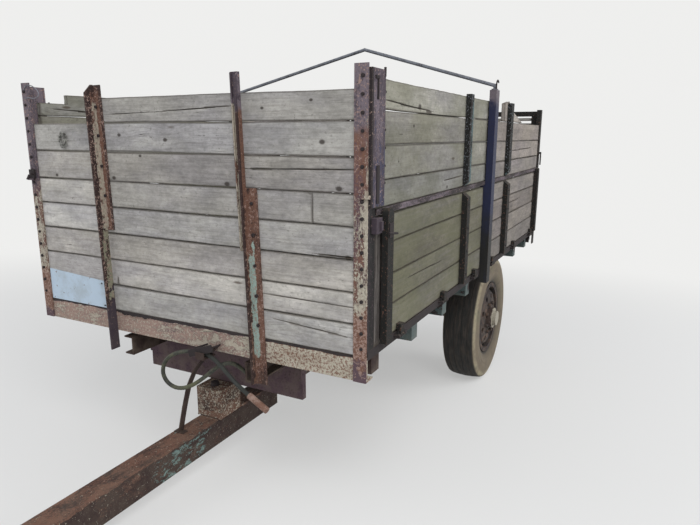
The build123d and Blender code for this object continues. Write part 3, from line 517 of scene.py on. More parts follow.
# Steel finishes: what a row leaves out comes from the plain one
PLAIN = dict(
    deep="rust_deep", bright="rust_bright", share=0.34, paint="paint_turquoise", cover=0.04, flake=18.0,
    fleck="rust_pink", dots=0.18, dust=0.15, radius=0.002, run=(1.0, 1.0, 1.0), ragged=1.0,
)
DOWN, ACROSS, ALONG = (1.0, 1.0, 0.20), (1.0, 0.35, 1.0), (0.35, 1.0, 1.0)
STEEL = {
    "front rail": dict(
        deep="primer", bright="rust_pink", share=0.60, paint="paint_cream", cover=0.24, flake=30.0,
        fleck="paint_cream", dots=0.50, dust=0.20, run=ACROSS, ragged=0.10,
    ),
    "side rail": dict(deep="iron_dark", share=0.22, cover=0.05, dots=0.12, dust=0.10, run=ALONG),
    "mid rail": dict(deep="iron_dark", bright="post_lilac", share=0.48, cover=0.0, dots=0.34, run=ALONG),
    "corner post": dict(
        deep="primer", share=0.55, paint="paint_cream", cover=0.0, flake=38.0, dots=0.46, run=DOWN,
    ),
    "front upright": dict(share=0.40, paint="paint_cream", cover=0.0, flake=26.0, dots=0.34, run=DOWN),
    "gate iron": dict(deep="rubber", bright="primer", share=0.34, fleck="rust_bright", dots=0.38, run=DOWN),
    "side upright": dict(
        deep="rubber", bright="hoop_grey", share=0.26, paint="paint_sea", cover=0.06, flake=30.0,
        fleck="hoop_grey", dots=0.42, run=DOWN,
    ),
    "navy post": dict(
        deep="rubber", bright="paint_navy", share=0.40, paint="paint_navy", cover=0.95, flake=12.0,
        fleck="primer", dots=0.20, dust=0.04, radius=0.003, run=DOWN,
    ),
    "bearer paint": dict(
        bright="primer", share=0.40, paint="paint_sea", cover=0.66, flake=11.0, fleck="rust_deep",
        dots=0.34, dust=0.40, radius=0.003,
    ),
    "crossmember paint": dict(
        deep="primer", bright="primer", share=0.6, cover=0.0, fleck="rust_deep", dots=0.44, dust=0.25,
        radius=0.003, run=ACROSS,
    ),
    "chassis": dict(bright="primer", share=0.5, cover=0.12, flake=12.0, dust=0.45, radius=0.004),
    "drawbar": dict(
        share=0.38, cover=0.02, flake=34.0, ragged=0.15, fleck="paint_cream", dots=0.30, dust=0.12,
        radius=0.004, run=(0.5, 1.0, 1.0),
    ),
    "hanger iron": dict(dots=0.14, cover=0.0),
    "hoop": dict(
        bright="hoop_grey", share=0.62, paint="hoop_grey", cover=0.60, fleck="rust_bright", dots=0.22,
    ),
    "rim": dict(deep="iron_dark", share=0.40, cover=0.0, fleck="rust_bright", dots=0.34),
    "hub": dict(bright="primer", share=0.40, paint="paint_cream", cover=0.0, dots=0.16),
    "fastener": dict(deep="iron_dark", share=0.10, cover=0.0, dots=0.04, dust=0.04, radius=0.001),
    "pale iron": dict(deep="post_purple", bright="post_lilac", share=0.34, cover=0.0, dots=0.2),
    "orange tip": dict(
        deep="rust_bright", bright="rust_pink", share=0.5, cover=0.0, fleck="rust_deep", dots=0.3,
    ),
}

# Where a finish differs over a piece: the input, what it becomes there or gains, and its limits in
# the level axes as axis, low, high and the width of the change
FACE = (0, 0.0, 0.05, 0.004)
LOW_WEB = ((1, -0.47, -0.44, 0.004), (2, 0.20, 0.54, 0.06), (0, -0.01, 0.038, 0.006))
FOOT = ((1, -0.60, -0.30, 0.010), (2, -0.20, 0.16, 0.03))
STRIPE = ((1, 0.457, 0.484, 0.004), (2, 0.04, 0.50, 0.05), (0, -0.01, 0.016, 0.002))
POST_SIDE = ((0, -0.20, -0.0005, 0.001), (1, 1.015, 1.1, 0.002))
# Painted shade: a near black strip on the corner posts' sides, in the gap just behind their front flange
POST_GAP_SHADE = ((0, -0.016, 0.0005, 0.001), (1, 1.015, 1.1, 0.002))
POST_TOP = ((2, 1.08, 2.0, 0.12),)
FAR_POST = ((1, -1.10, -0.90, 0.01), (2, 0.80, 2.0, 0.10))
POST_LOW = (FACE, (2, 0.36, 0.68, 0.12))
POST_FOOT = (FACE, (2, -0.1, 0.06, 0.03))
POST_SHADE = (*POST_SIDE, (2, -0.2, 0.70, 0.04))
BANDS = {
    "front rail": (
        ("Bright Share", -0.12, ((1, 0.50, 1.10, 0.25),)),
        ("Fleck Cover", 0.20, ((1, 0.50, 1.10, 0.25),)),
        ("Cover", 0.16, ((1, -0.98, -0.50, 0.10),)),
        ("Cover", 0.22, ((1, -0.10, 0.42, 0.10),)),
        ("Deep", "rust_bright", ((1, 0.60, 1.10, 0.20),)),
        ("Deep", "iron_dark", ((2, 0.102, 0.2, 0.004),)),
        ("Bright Share", -1.0, ((2, 0.102, 0.2, 0.004),)),
        ("Cover", -1.0, ((2, 0.102, 0.2, 0.004),)),
        ("Fleck Cover", -1.0, ((2, 0.102, 0.2, 0.004),)),
    ),
    "corner post": (
        ("Deep", "post_purple", POST_TOP),
        ("Bright", "post_lilac", POST_TOP),
        ("Deep", "post_purple", FAR_POST),
        ("Bright", "post_lilac", FAR_POST),
        ("Cover", 0.50, POST_LOW),
        ("Cover", 0.40, (FACE, (1, 1.009, 1.03, 0.002), (2, 0.60, 1.16, 0.10))),
        ("Bright Share", 0.10, (FACE, (2, -0.1, 0.30, 0.08))),
        ("Fleck", "paint_cream", POST_LOW),
        ("Fleck Cover", 0.06, POST_LOW),
        ("Bright", "primer", POST_FOOT),
        ("Fleck Cover", -0.10, POST_FOOT),
        ("Fleck Cover", 0.16, (FACE, (2, 0.07, 0.34, 0.04))),
        ("Deep", "post_purple", POST_SIDE),
        ("Bright", "post_lilac", POST_SIDE),
        ("Paint", "paint_navy", POST_SIDE),
        ("Bright Share", -0.08, POST_SIDE),
        ("Cover", 0.24, POST_SIDE),
        ("Cover", 0.30, (*POST_SIDE, (2, 0.5, 0.92, 0.06))),
        ("Fleck Cover", -0.10, POST_SIDE),
        ("Deep", "rubber", POST_SHADE),
        ("Bright", "iron_dark", POST_SHADE),
        ("Paint", "rubber", POST_SHADE),
        ("Fleck", "primer", POST_SHADE),
        # Painted shade in that gap: near black iron with no paint
        ("Deep", "iron_dark", POST_GAP_SHADE),
        ("Bright", "iron_dark", POST_GAP_SHADE),
        ("Cover", -1.00, POST_GAP_SHADE),
    ),
    "front upright": (
        ("Bright Share", -0.26, ((0, 0.028, 0.2, 0.006),)),
        ("Cover", 0.62, ((1, -0.443, -0.426, 0.005), (2, 0.58, 1.12, 0.10), (0, -0.01, 0.024, 0.004))),
        ("Bright Share", 0.16, ((1, -0.446, -0.402, 0.004), (2, 0.54, 1.20, 0.05))),
        ("Fleck Cover", 0.16, ((1, -0.46, -0.38, 0.004), (2, 0.20, 1.20, 0.05))),
        ("Cover", 0.52, LOW_WEB),
        ("Paint", "paint_worn", LOW_WEB),
        ("Deep", "post_purple", FOOT),
        ("Bright Share", -0.30, FOOT),
        ("Cover", 0.74, STRIPE),
        ("Paint", "paint_pale", STRIPE),
        ("Bright Share", 0.18, ((1, 0.456, 0.53, 0.004), (2, -0.20, 0.80, 0.05))),
        ("Fleck Cover", 0.14, ((1, 0.456, 0.53, 0.004), (2, -0.20, 0.80, 0.05))),
        ("Cover", 0.60, ((1, 0.40, 0.422, 0.003), (2, 0.50, 1.10, 0.05))),
        ("Bright Share", 0.12, ((1, 0.40, 0.460, 0.003), (2, 0.50, 1.15, 0.05))),
        ("Deep", "post_purple", ((1, 0.30, 0.60, 0.010), (2, 1.12, 1.4, 0.05))),
        ("Bright", "post_lilac", ((1, 0.30, 0.60, 0.010), (2, 1.12, 1.4, 0.05))),
    ),
    "side upright": (
        ("Cover", 0.52, ((0, -1.340, -1.300, 0.006), (2, 0.70, 1.18, 0.10))),
        ("Cover", 0.45, ((0, -2.330, -2.312, 0.004), (2, 0.10, 0.80, 0.05))),
    ),
    "drawbar": (
        ("Cover", 0.38, ((0, -0.04, 0.28, 0.08), (1, 0.050, 0.070, 0.004), (2, -0.620, -0.500, 0.02))),
        ("Cover", 0.20, ((0, -0.16, 0.10, 0.08), (2, -0.500, -0.470, 0.01))),
        ("Bright Share", 0.16, ((0, -0.50, 1.60, 0.10), (2, -0.482, -0.44, 0.002))),
        ("Fleck Cover", 0.22, ((0, -0.40, -0.160, 0.01), (2, -0.478, -0.30, 0.004))),
        ("Bright Share", 0.12, ((0, -0.40, -0.160, 0.01), (2, -0.478, -0.30, 0.004))),
    ),
    "navy post": (
        ("Paint", "rubber", ((2, -0.5, 0.30, 0.30),)),
        ("Fleck Cover", -0.14, ((2, -0.5, 0.62, 0.30),)),
        ("Paint", "post_lilac", ((2, 1.27, 2.0, 0.10),)),
    ),
    "bearer paint": (
        ("Cover", -1.0, ((0, -0.26, 0.10, 0.01),)),
        ("Fleck Cover", -0.3, ((0, -0.26, 0.10, 0.01),)),
    ),
    "rim": (
        # Inboard of the rims' outer faces: near black with less bright rust, as painted shade in the dished
        # recess
        ("Deep", "rubber", ((1, -0.905, 0.905, 0.02),)),
        ("Bright Share", -0.20, ((1, -0.905, 0.905, 0.02),)),
    ),
    "hub": (("Cover", 1.0, ((1, 0.981, 1.2, 0.003),)), ("Cover", 1.0, ((1, -1.2, -0.981, 0.003),))),
}
# How far a finish's bands lean to the right for each metre down
LEAN = {"front upright": 0.028}
# The height at which that lean is nothing
LEAN_FROM = -0.095
# Noise that frays the bands' edges: its scale, and its reach along x, y and z
RAGGED = ((9.0, (0.0, 0.0, 0.30)), (55.0, (0.010, 0.022, 0.06)))


@cache
def steel(name):
    """A steel finish from its row in STEEL, changed over the piece by its BANDS."""
    own = {**PLAIN, **STEEL[name]}
    material, tree, shader = new_material(name)
    level = level_axes(tree)
    values = {
        "Vector": level, "Flake Size": own["flake"], "Run": own["run"], "Deep": colour(own["deep"]),
        "Bright": colour(own["bright"]), "Paint": colour(own["paint"]), "Fleck": colour(own["fleck"]),
        "Bright Share": own["share"], "Cover": own["cover"], "Fleck Cover": own["dots"],
    }
    if name in BANDS:
        moved = level
        for scale, reach in RAGGED:
            ragged = vector("SUBTRACT", speckle(level, scale, 3.0, 0.5, output="Color"), (0.5, 0.5, 0.5))
            moved = vector("ADD", moved, stretch(ragged, *(own["ragged"] * part for part in reach)))
        parts = axes(moved)
        if name in LEAN:
            parts[1] = (axes(level)[2] - LEAN_FROM) * LEAN[name] + parts[1]
        for key, change, limits in BANDS[name]:
            mask = band_mask(parts, limits)
            if isinstance(change, str):
                values[key] = blend(mask, values[key], colour(change))
            else:
                values[key] = mask * change + values[key]
    rust = wires(put(tree, "ShaderNodeGroup", values, node_tree=rust_group()))
    ends = {"Vector": level, "Radius": own["radius"]}
    edges = wires(put(tree, "ShaderNodeGroup", ends, node_tree=edge_group()))
    worn = blend(edges["Mask"] * 0.30, rust["Color"], colour("rust_bright"))
    base = dusted(worn, level, own["dust"], 0.25)
    finish_surface(shader, base, rust["Roughness"], rust["Height"], 0.0015, edges["Normal"])
    shader.inputs["Specular IOR Level"].default_value = 0.3
    return material


def sheet_paint():
    """The pale blue sheet, with grey stains and a little rust."""
    material, tree, shader = new_material("pale blue sheet")
    level = level_axes(tree)
    stain = speckle(level, 9.0, 7.0, 0.65)
    rusty = speckle(level, 24.0, 8.0, 0.7)
    base = blend(spread(stain, 0.42, 0.66, 0.0, 0.5), colour("patch_blue"), (0.30, 0.33, 0.34, 1.0))
    base = blend(spread(rusty, 0.62, 0.66), base, colour("rust_bright"))
    finish_surface(shader, base, spread(stain, 0.3, 0.7, 0.45, 0.7), stain, 0.0015)
    return material


def hose_rubber():
    """Dusty rubber, with a darker sleeve over the hose's lower end."""
    material, tree, shader = new_material("dusty hose rubber")
    level = level_axes(tree)
    mottle = speckle(level, 38.0, 7.0, 0.7)
    film = speckle(level, 5.0, 4.0, 0.6)
    ahead, aside, _ = axes(level)
    base = blend(spread(mottle, 0.38, 0.66), (0.018, 0.020, 0.016, 1.0), (0.080, 0.080, 0.055, 1.0))
    base = layered(
        base, (spread(film, 0.45, 0.62, 0.0, 0.70), (0.110, 0.114, 0.060, 1.0)),
        (spread(aside, 0.190, 0.205) * spread(ahead, 0.040, 0.050) * 0.9, (0.014, 0.016, 0.015, 1.0)),
    )
    finish_surface(shader, base, spread(mottle, 0.3, 0.7, 0.65, 0.92), mottle, 0.0006)
    return material


def old_twine():
    material, tree, shader = new_material("old twine")
    mottle = speckle(level_axes(tree), 60.0, 4.0, 0.6)
    base = blend(spread(mottle, 0.35, 0.65), (0.045, 0.043, 0.036, 1.0), (0.330, 0.330, 0.300, 1.0))
    finish_surface(shader, base, spread(mottle, 0.3, 0.7, 0.8, 0.95))
    return material


def tyre_rubber():
    """Old rubber with mud on the walls, and paler mud round the shoulders."""
    material, tree, shader = new_material("old tyre rubber")
    spot = node(tree, "ShaderNodeTexCoord", output="Object")
    axle = node(tree, "ShaderNodeMapping", {"Vector": spot, "Location": AXLE_PLACE}, vector_type="TEXTURE")
    radius = length(stretch(axle, 1.0, 0.0, 1.0))
    side = abs(axes(axle)[1])
    mottle = speckle(axle, 17.0, 8.0, 0.68)
    grit = speckle(axle, 120.0, 4.0, 0.6)
    patchy = speckle(axle, 5.0, 8.0, 0.7)
    tread = speckle(stretch(axle, 9.0, 60.0, 9.0), 1.0, 8.0, 0.72)
    outer = spread(side, WHEEL_Y + 0.100, WHEEL_Y + 0.114)
    inner = spread(side, WHEEL_Y - 0.100, WHEEL_Y - 0.114)
    wall = calc("MAXIMUM", outer, inner) * spread(radius, 0.480, 0.470)
    crest = spread(radius, 0.425, 0.455) * spread(patchy, 0.40, 0.60, 0.15, 0.95)
    mud = blend(crest, colour("mud"), colour("mud_pale"))
    mud = blend(spread(patchy, 0.50, 0.68, 0.0, 0.55), mud, colour("timber_green"))
    rubber = colour("rubber")
    base = blend(spread(tread, 0.40, 0.68, 0.0, 0.90), rubber, (0.046, 0.035, 0.027, 1.0))
    base = layered(
        base, (wall * spread(mottle, 0.28, 0.52, 0.45, 1.0), mud),
        # Painted shade on the walls' lower part: darker towards the rim, and near black rubber where the wall
        # meets the rim
        (spread(radius, 0.360, 0.300, 0.0, 0.45), (0.040, 0.033, 0.026, 1.0)),
        (spread(radius, 0.300, 0.285, 0.0, 0.7), rubber), (spread(grit, 0.58, 0.72, 0.0, 0.35), rubber),
    )
    finish_surface(shader, base, spread(mottle, 0.3, 0.7, 0.80, 0.96), grit, 0.0008)
    return material


def dress(material, *solids):
    for solid in solids:
        piece = frame["nodes"][solid]
        if piece.material_slots:
            for slot in piece.material_slots:
                slot.material = material
        else:
            piece.data.materials.append(material)


# Helpers for meshes
def as_object(name, data, material=None):
    piece = bpy.data.objects.new(name, data)
    bpy.context.scene.collection.objects.link(piece)
    if material:
        data.materials.append(material)
    return piece


def ride(piece, body):
    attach(piece, body)
    return piece


def placed(name, body, shape, material, move=LEVEL, smooth=None):
    """A finished piece from a bmesh: its place goes into its mesh, and it rides on a body."""
    shape.transform(move)
    bmesh.ops.recalc_face_normals(shape, faces=shape.faces)
    mesh = bpy.data.meshes.new(name)
    shape.to_mesh(mesh)
    shape.free()
    if smooth:
        mesh.shade_smooth()
        mesh.set_sharp_from_angle(angle=math.radians(smooth))
    return ride(as_object(name, mesh, material), body)


def plain_mesh(name, source):
    """What an object looks like with its modifiers or its bevel, as a mesh; the object goes."""
    graph = bpy.context.evaluated_depsgraph_get()
    mesh = bpy.data.meshes.new_from_object(source.evaluated_get(graph), depsgraph=graph)
    mesh.name = name
    source.modifiers.clear()
    bpy.data.objects.remove(source)
    return mesh


def run_tree(name, source, tree, values, material, move):
    """Runs a Geometry Nodes tree on a mesh, and carries the plain mesh that it gives into the frame."""
    carrier = as_object(name + " carrier", source)
    modifier = carrier.modifiers.new("shape", "NODES")
    modifier.node_group = tree
    sockets = {item.name: item.identifier for item in tree.interface.items_tree if item.in_out == "INPUT"}
    for key, value in {**values, "Material": material}.items():
        modifier[sockets[key]] = value
    mesh = plain_mesh(name, carrier)
    bpy.data.meshes.remove(source)
    mesh.transform(move)
    return mesh


def geometry_tree(name, ins):
    shape = {"Geometry": GEOMETRY}
    return group(name, "GeometryNodeTree", {**shape, **ins, "Material": MATERIAL}, shape)


def end_tree(have, give, shape, smooth):
    tree = tree_of(shape)
    real = node(tree, "GeometryNodeRealizeInstances", {"Geometry": shape})
    shaded = node(tree, "GeometryNodeSetShadeSmooth", {"Geometry": real, "Shade Smooth": smooth})
    finish = node(tree, "GeometryNodeSetMaterial", {"Geometry": shaded, "Material": have["Material"]})
    link(finish, give["Geometry"])


def named(tree, name, kind="FLOAT"):
    return node(tree, "GeometryNodeInputNamedAttribute", {"Name": name}, data_type=kind)


@cache
def board_tree():
    """Wears boards: rounds their edges, lets them wander and gives their faces a grain relief."""
    tree, have, give = geometry_tree("weathered boards", {
        "Wear": FLOAT, "Wander": FLOAT, "Relief": FLOAT, "Grain": VECTOR, "Seed": FLOAT, "Loose": VECTOR,
    })
    where = node(tree, "GeometryNodeInputPosition")
    normal = node(tree, "GeometryNodeInputNormal")
    own = named(tree, "board") * 91.0 + have["Seed"]

    def own_noise(place, scale, detail, output):
        """Noise that is another on every board."""
        values = {"Vector": place, "W": own, "Scale": scale, "Detail": detail}
        return node(tree, "ShaderNodeTexNoise", values, output, noise_dimensions="4D")

    chew = calc("MAXIMUM", speckle(where, 22.0, 4.0, 0.5) * 2.6 - 0.45, 0.25)
    inward = named(tree, "rim") * chew * have["Wear"] * -1.0
    grain = own_noise(vector("MULTIPLY", where, have["Grain"]), 1.0, 3.0, 0) - 0.5
    push = scaled(normal, inward + grain * have["Relief"] * 2.0)
    drift = vector("SUBTRACT", own_noise(where, 1.9, 2.0, 1), (0.5, 0.5, 0.5))
    stray = vector("MULTIPLY", scaled(drift, have["Wander"] * 2.0), have["Loose"])
    values = {"Geometry": have["Geometry"], "Offset": vector("ADD", push, stray)}
    end_tree(have, give, node(tree, "GeometryNodeSetPosition", values), True)
    return tree


@cache
def bolt_tree():
    """Sets a bolt head on every point of a mesh, turned to the point's facing."""
    tree, have, give = geometry_tree("bolt rows", {
        "Radius": FLOAT, "Height": FLOAT, "Sides": WHOLE, "Crown": FLOAT, "Seed": WHOLE,
    })
    radius, height = have["Radius"], have["Height"]

    def cone(top, depth):
        values = {"Vertices": have["Sides"], "Radius Top": top, "Radius Bottom": radius, "Depth": depth}
        return node(tree, "GeometryNodeMeshCone", values)

    lift = node(tree, "ShaderNodeCombineXYZ", {2: height})
    crown = cone(radius * have["Crown"], height * 0.35)
    raised = node(tree, "GeometryNodeTransform", {"Geometry": crown, "Translation": lift})
    head = tree.nodes.new("GeometryNodeJoinGeometry")
    for part in (raised, cone(radius, height)):
        link(part, head.inputs[0])
    facing = named(tree, "facing", "FLOAT_VECTOR")
    turned = node(tree, "FunctionNodeAlignRotationToVector", {"Vector": facing}, axis="Z")
    values = {"Max": (0.0, 0.0, 6.28), "Seed": have["Seed"]}
    spin = node(tree, "FunctionNodeRandomValue", values, data_type="FLOAT_VECTOR")
    twist = node(tree, "FunctionNodeEulerToRotation", {0: spin})
    rotation = node(tree, "FunctionNodeRotateRotation", {0: turned, 1: twist}, rotation_space="LOCAL")
    heads = node(tree, "GeometryNodeInstanceOnPoints", {
        "Points": have["Geometry"], "Instance": Wire(head.outputs[0]), "Rotation": rotation,
        "Scale": named(tree, "scale"),
    })
    end_tree(have, give, heads, False)
    return tree


# Boards: each one of a solid is cut into a grid, cracked, and worn by the tree
def islands(mesh):
    """The faces of each separate board, in the same order in every run."""
    seen, found = set(), []
    for first in mesh.faces:
        if first in seen:
            continue
        seen.add(first)
        part, edge = [first], [first]
        while edge:
            for corner in edge.pop().verts:
                for face in corner.link_faces:
                    if face not in seen:
                        seen.add(face)
                        part.append(face)
                        edge.append(face)
        found.append(part)
    return found


def cut(mesh, point, normal):
    everything = mesh.verts[:] + mesh.edges[:] + mesh.faces[:]
    bmesh.ops.bisect_plane(mesh, geom=everything, dist=1e-6, plane_co=point, plane_no=normal)


def crack_board(mesh, normal, start, end, width, depth):
    """A crack from start to end that opens in the middle; normal is the board's face direction."""
    start, end = Vector(start), Vector(end)
    across = normal.cross(end - start).normalized()
    span = (end - start).length
    for offset in (-width, 0.0, width):
        cut(mesh, start + across * offset, across)
    for corner in mesh.verts:
        share_along = (corner.co - start).dot(end - start) / span**2
        aside = (corner.co - start).dot(across)
        if not -0.02 < share_along < 1.02 or abs(aside) > width * 1.01:
            continue
        open_here = math.sin(math.pi * min(max(share_along, 0.0), 1.0)) ** 0.6
        if abs(aside) < width * 0.01:
            side = 1.0 if corner.normal.dot(normal) > 0 else -1.0
            corner.co -= normal * side * depth * open_here
        elif abs(abs(aside) - width) < width * 0.02:
            corner.co -= across * aside * (1.0 - open_here) * 0.9


def grid_board(faces, long_axis, cracks):
    """One board as a bmesh of its own, cut into a grid and cracked."""
    board, fresh = bmesh.new(), {}
    for face in faces:
        for corner in face.verts:
            if corner not in fresh:
                fresh[corner] = board.verts.new(corner.co)
        board.faces.new([fresh[corner] for corner in face.verts])
    bmesh.ops.recalc_face_normals(board, faces=board.faces)
    bmesh.ops.dissolve_limit(board, angle_limit=math.radians(1), verts=board.verts, edges=board.edges)
    low = [min(corner.co[axis] for corner in board.verts) for axis in range(3)]
    high = [max(corner.co[axis] for corner in board.verts) for axis in range(3)]
    thin = min((axis for axis in range(3) if axis != long_axis), key=lambda axis: high[axis] - low[axis])
    toward = [Vector([float(axis == other) for other in range(3)]) for axis in range(3)]
    for axis in range(3):
        wide = high[axis] - low[axis]
        count = max(1, round(wide / (BOARD_STEP if axis == long_axis else BOARD_FINE)))
        for index in range(1, count):
            cut(board, toward[axis] * (low[axis] + wide * index / count), toward[axis])
    for start, end, width, depth in cracks:
        middle = (Vector(start) + Vector(end)) / 2
        if all(low[axis] < middle[axis] < high[axis] for axis in range(3) if axis != thin):
            board.normal_update()
            crack_board(board, toward[thin], start, end, width, depth)
    board.normal_update()
    board.verts.index_update()
    return board


def boards_from(solid, long_axis, cracks):
    """A grid mesh in level axes of every board of a solid, with the attributes board and rim."""
    whole = bmesh.new()
    whole.from_mesh(frame["nodes"][solid].data)
    bmesh.ops.remove_doubles(whole, verts=whole.verts, dist=2e-5)
    whole.transform(UNLEVEL)
    parts = islands(whole)
    parts.sort(key=lambda part: round(sum(face.calc_center_median().z for face in part) / len(part), 4))
    points, faces, board_of, rim_of = [], [], [], []
    for index, part in enumerate(parts):
        board = grid_board(part, long_axis, cracks)
        base = len(points)
        for corner in board.verts:
            bends = [edge.calc_face_angle(0.0) for edge in corner.link_edges]
            points.append(corner.co.copy())
            board_of.append((index * GOLDEN) % 1.0)
            rim_of.append(1.0 if max(bends, default=0.0) > 1.0 else 0.0)
        faces.extend([base + corner.index for corner in face.verts] for face in board.faces)
        board.free()
    whole.free()
    mesh = bpy.data.meshes.new(solid + " grid")
    mesh.from_pydata(points, [], faces)
    for label, values in (("board", board_of), ("rim", rim_of)):
        mesh.attributes.new(label, "FLOAT", "POINT").data.foreach_set("value", values)
    return mesh


# By a board's long axis: the scale of its grain, and how freely it strays
GRAIN = {0: (1.5, 30.0, 30.0), 1: (30.0, 1.5, 30.0), 2: (30.0, 30.0, 1.5)}
LOOSE = {0: (1.0, 0.25, 1.0), 1: (0.25, 1.0, 1.0), 2: (0.4, 0.25, 1.0)}


def wear_boards(name, solid, body, long_axis, material, seed, cracks=()):
    grid = boards_from(solid, long_axis, cracks)
    own = sizes()
    values = {
        "Wear": own.plank_wear, "Wander": own.plank_wander, "Relief": own.plank_relief, "Seed": float(seed),
        "Grain": GRAIN[long_axis], "Loose": LOOSE[long_axis],
    }
    mesh = run_tree(name, grid, board_tree(), values, material, LEVEL)
    mesh.set_sharp_from_angle(angle=SHARP_BOARD)
    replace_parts(ride(as_object(name, mesh), body), solid)


def bolt_points(rows):
    """Loose points in level axes with a facing; a row is start, end, count, facing and scale."""
    places, facings, scales = [], [], []
    for start, end, count, facing, scale in rows:
        for index in range(count):
            share_along = index / max(count - 1, 1)
            places.append(Vector(start).lerp(Vector(end), share_along))
            facings.extend(Vector(facing).normalized())
            scales.append(scale * (0.92 + 0.16 * ((index * 0.618 + start[2] * 7.0) % 1.0)))
    mesh = bpy.data.meshes.new("bolt points")
    mesh.from_pydata(places, [], [])
    mesh.attributes.new("facing", "FLOAT_VECTOR", "POINT").data.foreach_set("vector", facings)
    mesh.attributes.new("scale", "FLOAT", "POINT").data.foreach_set("value", scales)
    return mesh


def one_bolt(place, facing, scale):
    return place, place, 1, facing, scale


def set_bolts(name, body, rows, finish="fastener", sides=10, crown=0.7, radius=None,
              height=None, move=LEVEL, seed=3):
    values = {
        "Radius": radius or sizes().bolt_radius, "Height": height or sizes().bolt_height, "Sides": sides,
        "Crown": crown, "Seed": seed,
    }
    mesh = run_tree(name, bolt_points(rows), bolt_tree(), values, steel(finish), move)
    return ride(as_object(name, mesh), body)


def curve_piece(name, points, radius, cyclic=False, resolution=6, sides=3):
    """A bevelled NURBS curve through level points, as a curve object in the frame."""
    data = bpy.data.curves.new(name, "CURVE")
    data.dimensions = "3D"
    data.bevel_depth = radius
    data.bevel_resolution = sides
    data.resolution_u = resolution
    data.use_fill_caps = True
    spline = data.splines.new("NURBS")
    spline.points.add(len(points) - 1)
    for spot, point in zip(spline.points, points):
        spot.co = (*(LEVEL @ Vector(point)), 1.0)
    spline.order_u = 3
    spline.use_endpoint_u = not cyclic
    spline.use_cyclic_u = cyclic
    return as_object(name, data)


def wire_piece(name, body, material, points, radius, slot="rusty_steel", **settings):
    """The same, made a mesh that rides on a body."""
    mesh = plain_mesh(name, curve_piece(name + " line", points, radius, **settings))
    mesh.materials.clear()
    mesh.shade_smooth()
    return ride(as_object(name, mesh, material), body)


def slab(shape, low, high, turn=Matrix.Identity(4)):
    """Adds a bevelled box to a bmesh."""
    corners = bmesh.ops.create_cube(shape, size=1.0)["verts"]
    scale = Matrix.Diagonal((*(Vector(high) - Vector(low)), 1.0))
    move = Matrix.Translation((Vector(low) + Vector(high)) / 2) @ turn @ scale
    bmesh.ops.transform(shape, matrix=move, verts=corners)
    edges = list(dict.fromkeys(edge for corner in corners for edge in corner.link_edges))
    bmesh.ops.bevel(shape, geom=edges, offset=SLAB_BEVEL, segments=2, affect="EDGES", profile=0.5)


def rod(shape, start, end, radius, sides=16, far_radius=None):
    """Adds a capped rod to a bmesh."""
    start, end = Vector(start), Vector(end)
    turn = (end - start).to_track_quat("Z", "Y").to_matrix().to_4x4()
    move = Matrix.Translation((start + end) / 2) @ turn
    bmesh.ops.create_cone(
        shape, cap_ends=True, segments=sides, radius1=radius, radius2=far_radius or radius,
        depth=(end - start).length, matrix=move,
    )


def skin(shape, rows):
    """Faces between each row of corners and the next; every row closes on itself."""
    for first, second in zip(rows, rows[1:]):
        for index, corner in enumerate(first):
            shape.faces.new((first[index - 1], corner, second[index], second[index - 1]))


def ironwork(name, body, slabs=(), rods=(), finish="fastener", smooth=None):
    """A piece made of bevelled boxes and capped rods, each made apart so that their order never varies."""
    shape = bmesh.new()
    for make, parts in ((slab, slabs), (rod, rods)):
        for part in parts:
            single, mesh = bmesh.new(), bpy.data.meshes.new(name)
            make(single, *part)
            single.to_mesh(mesh)
            single.free()
            shape.from_mesh(mesh)
            bpy.data.meshes.remove(mesh)
    return placed(name, body, shape, steel(finish), smooth=smooth)


def side_of(gate):
    return 1 if gate.endswith("left") else -1


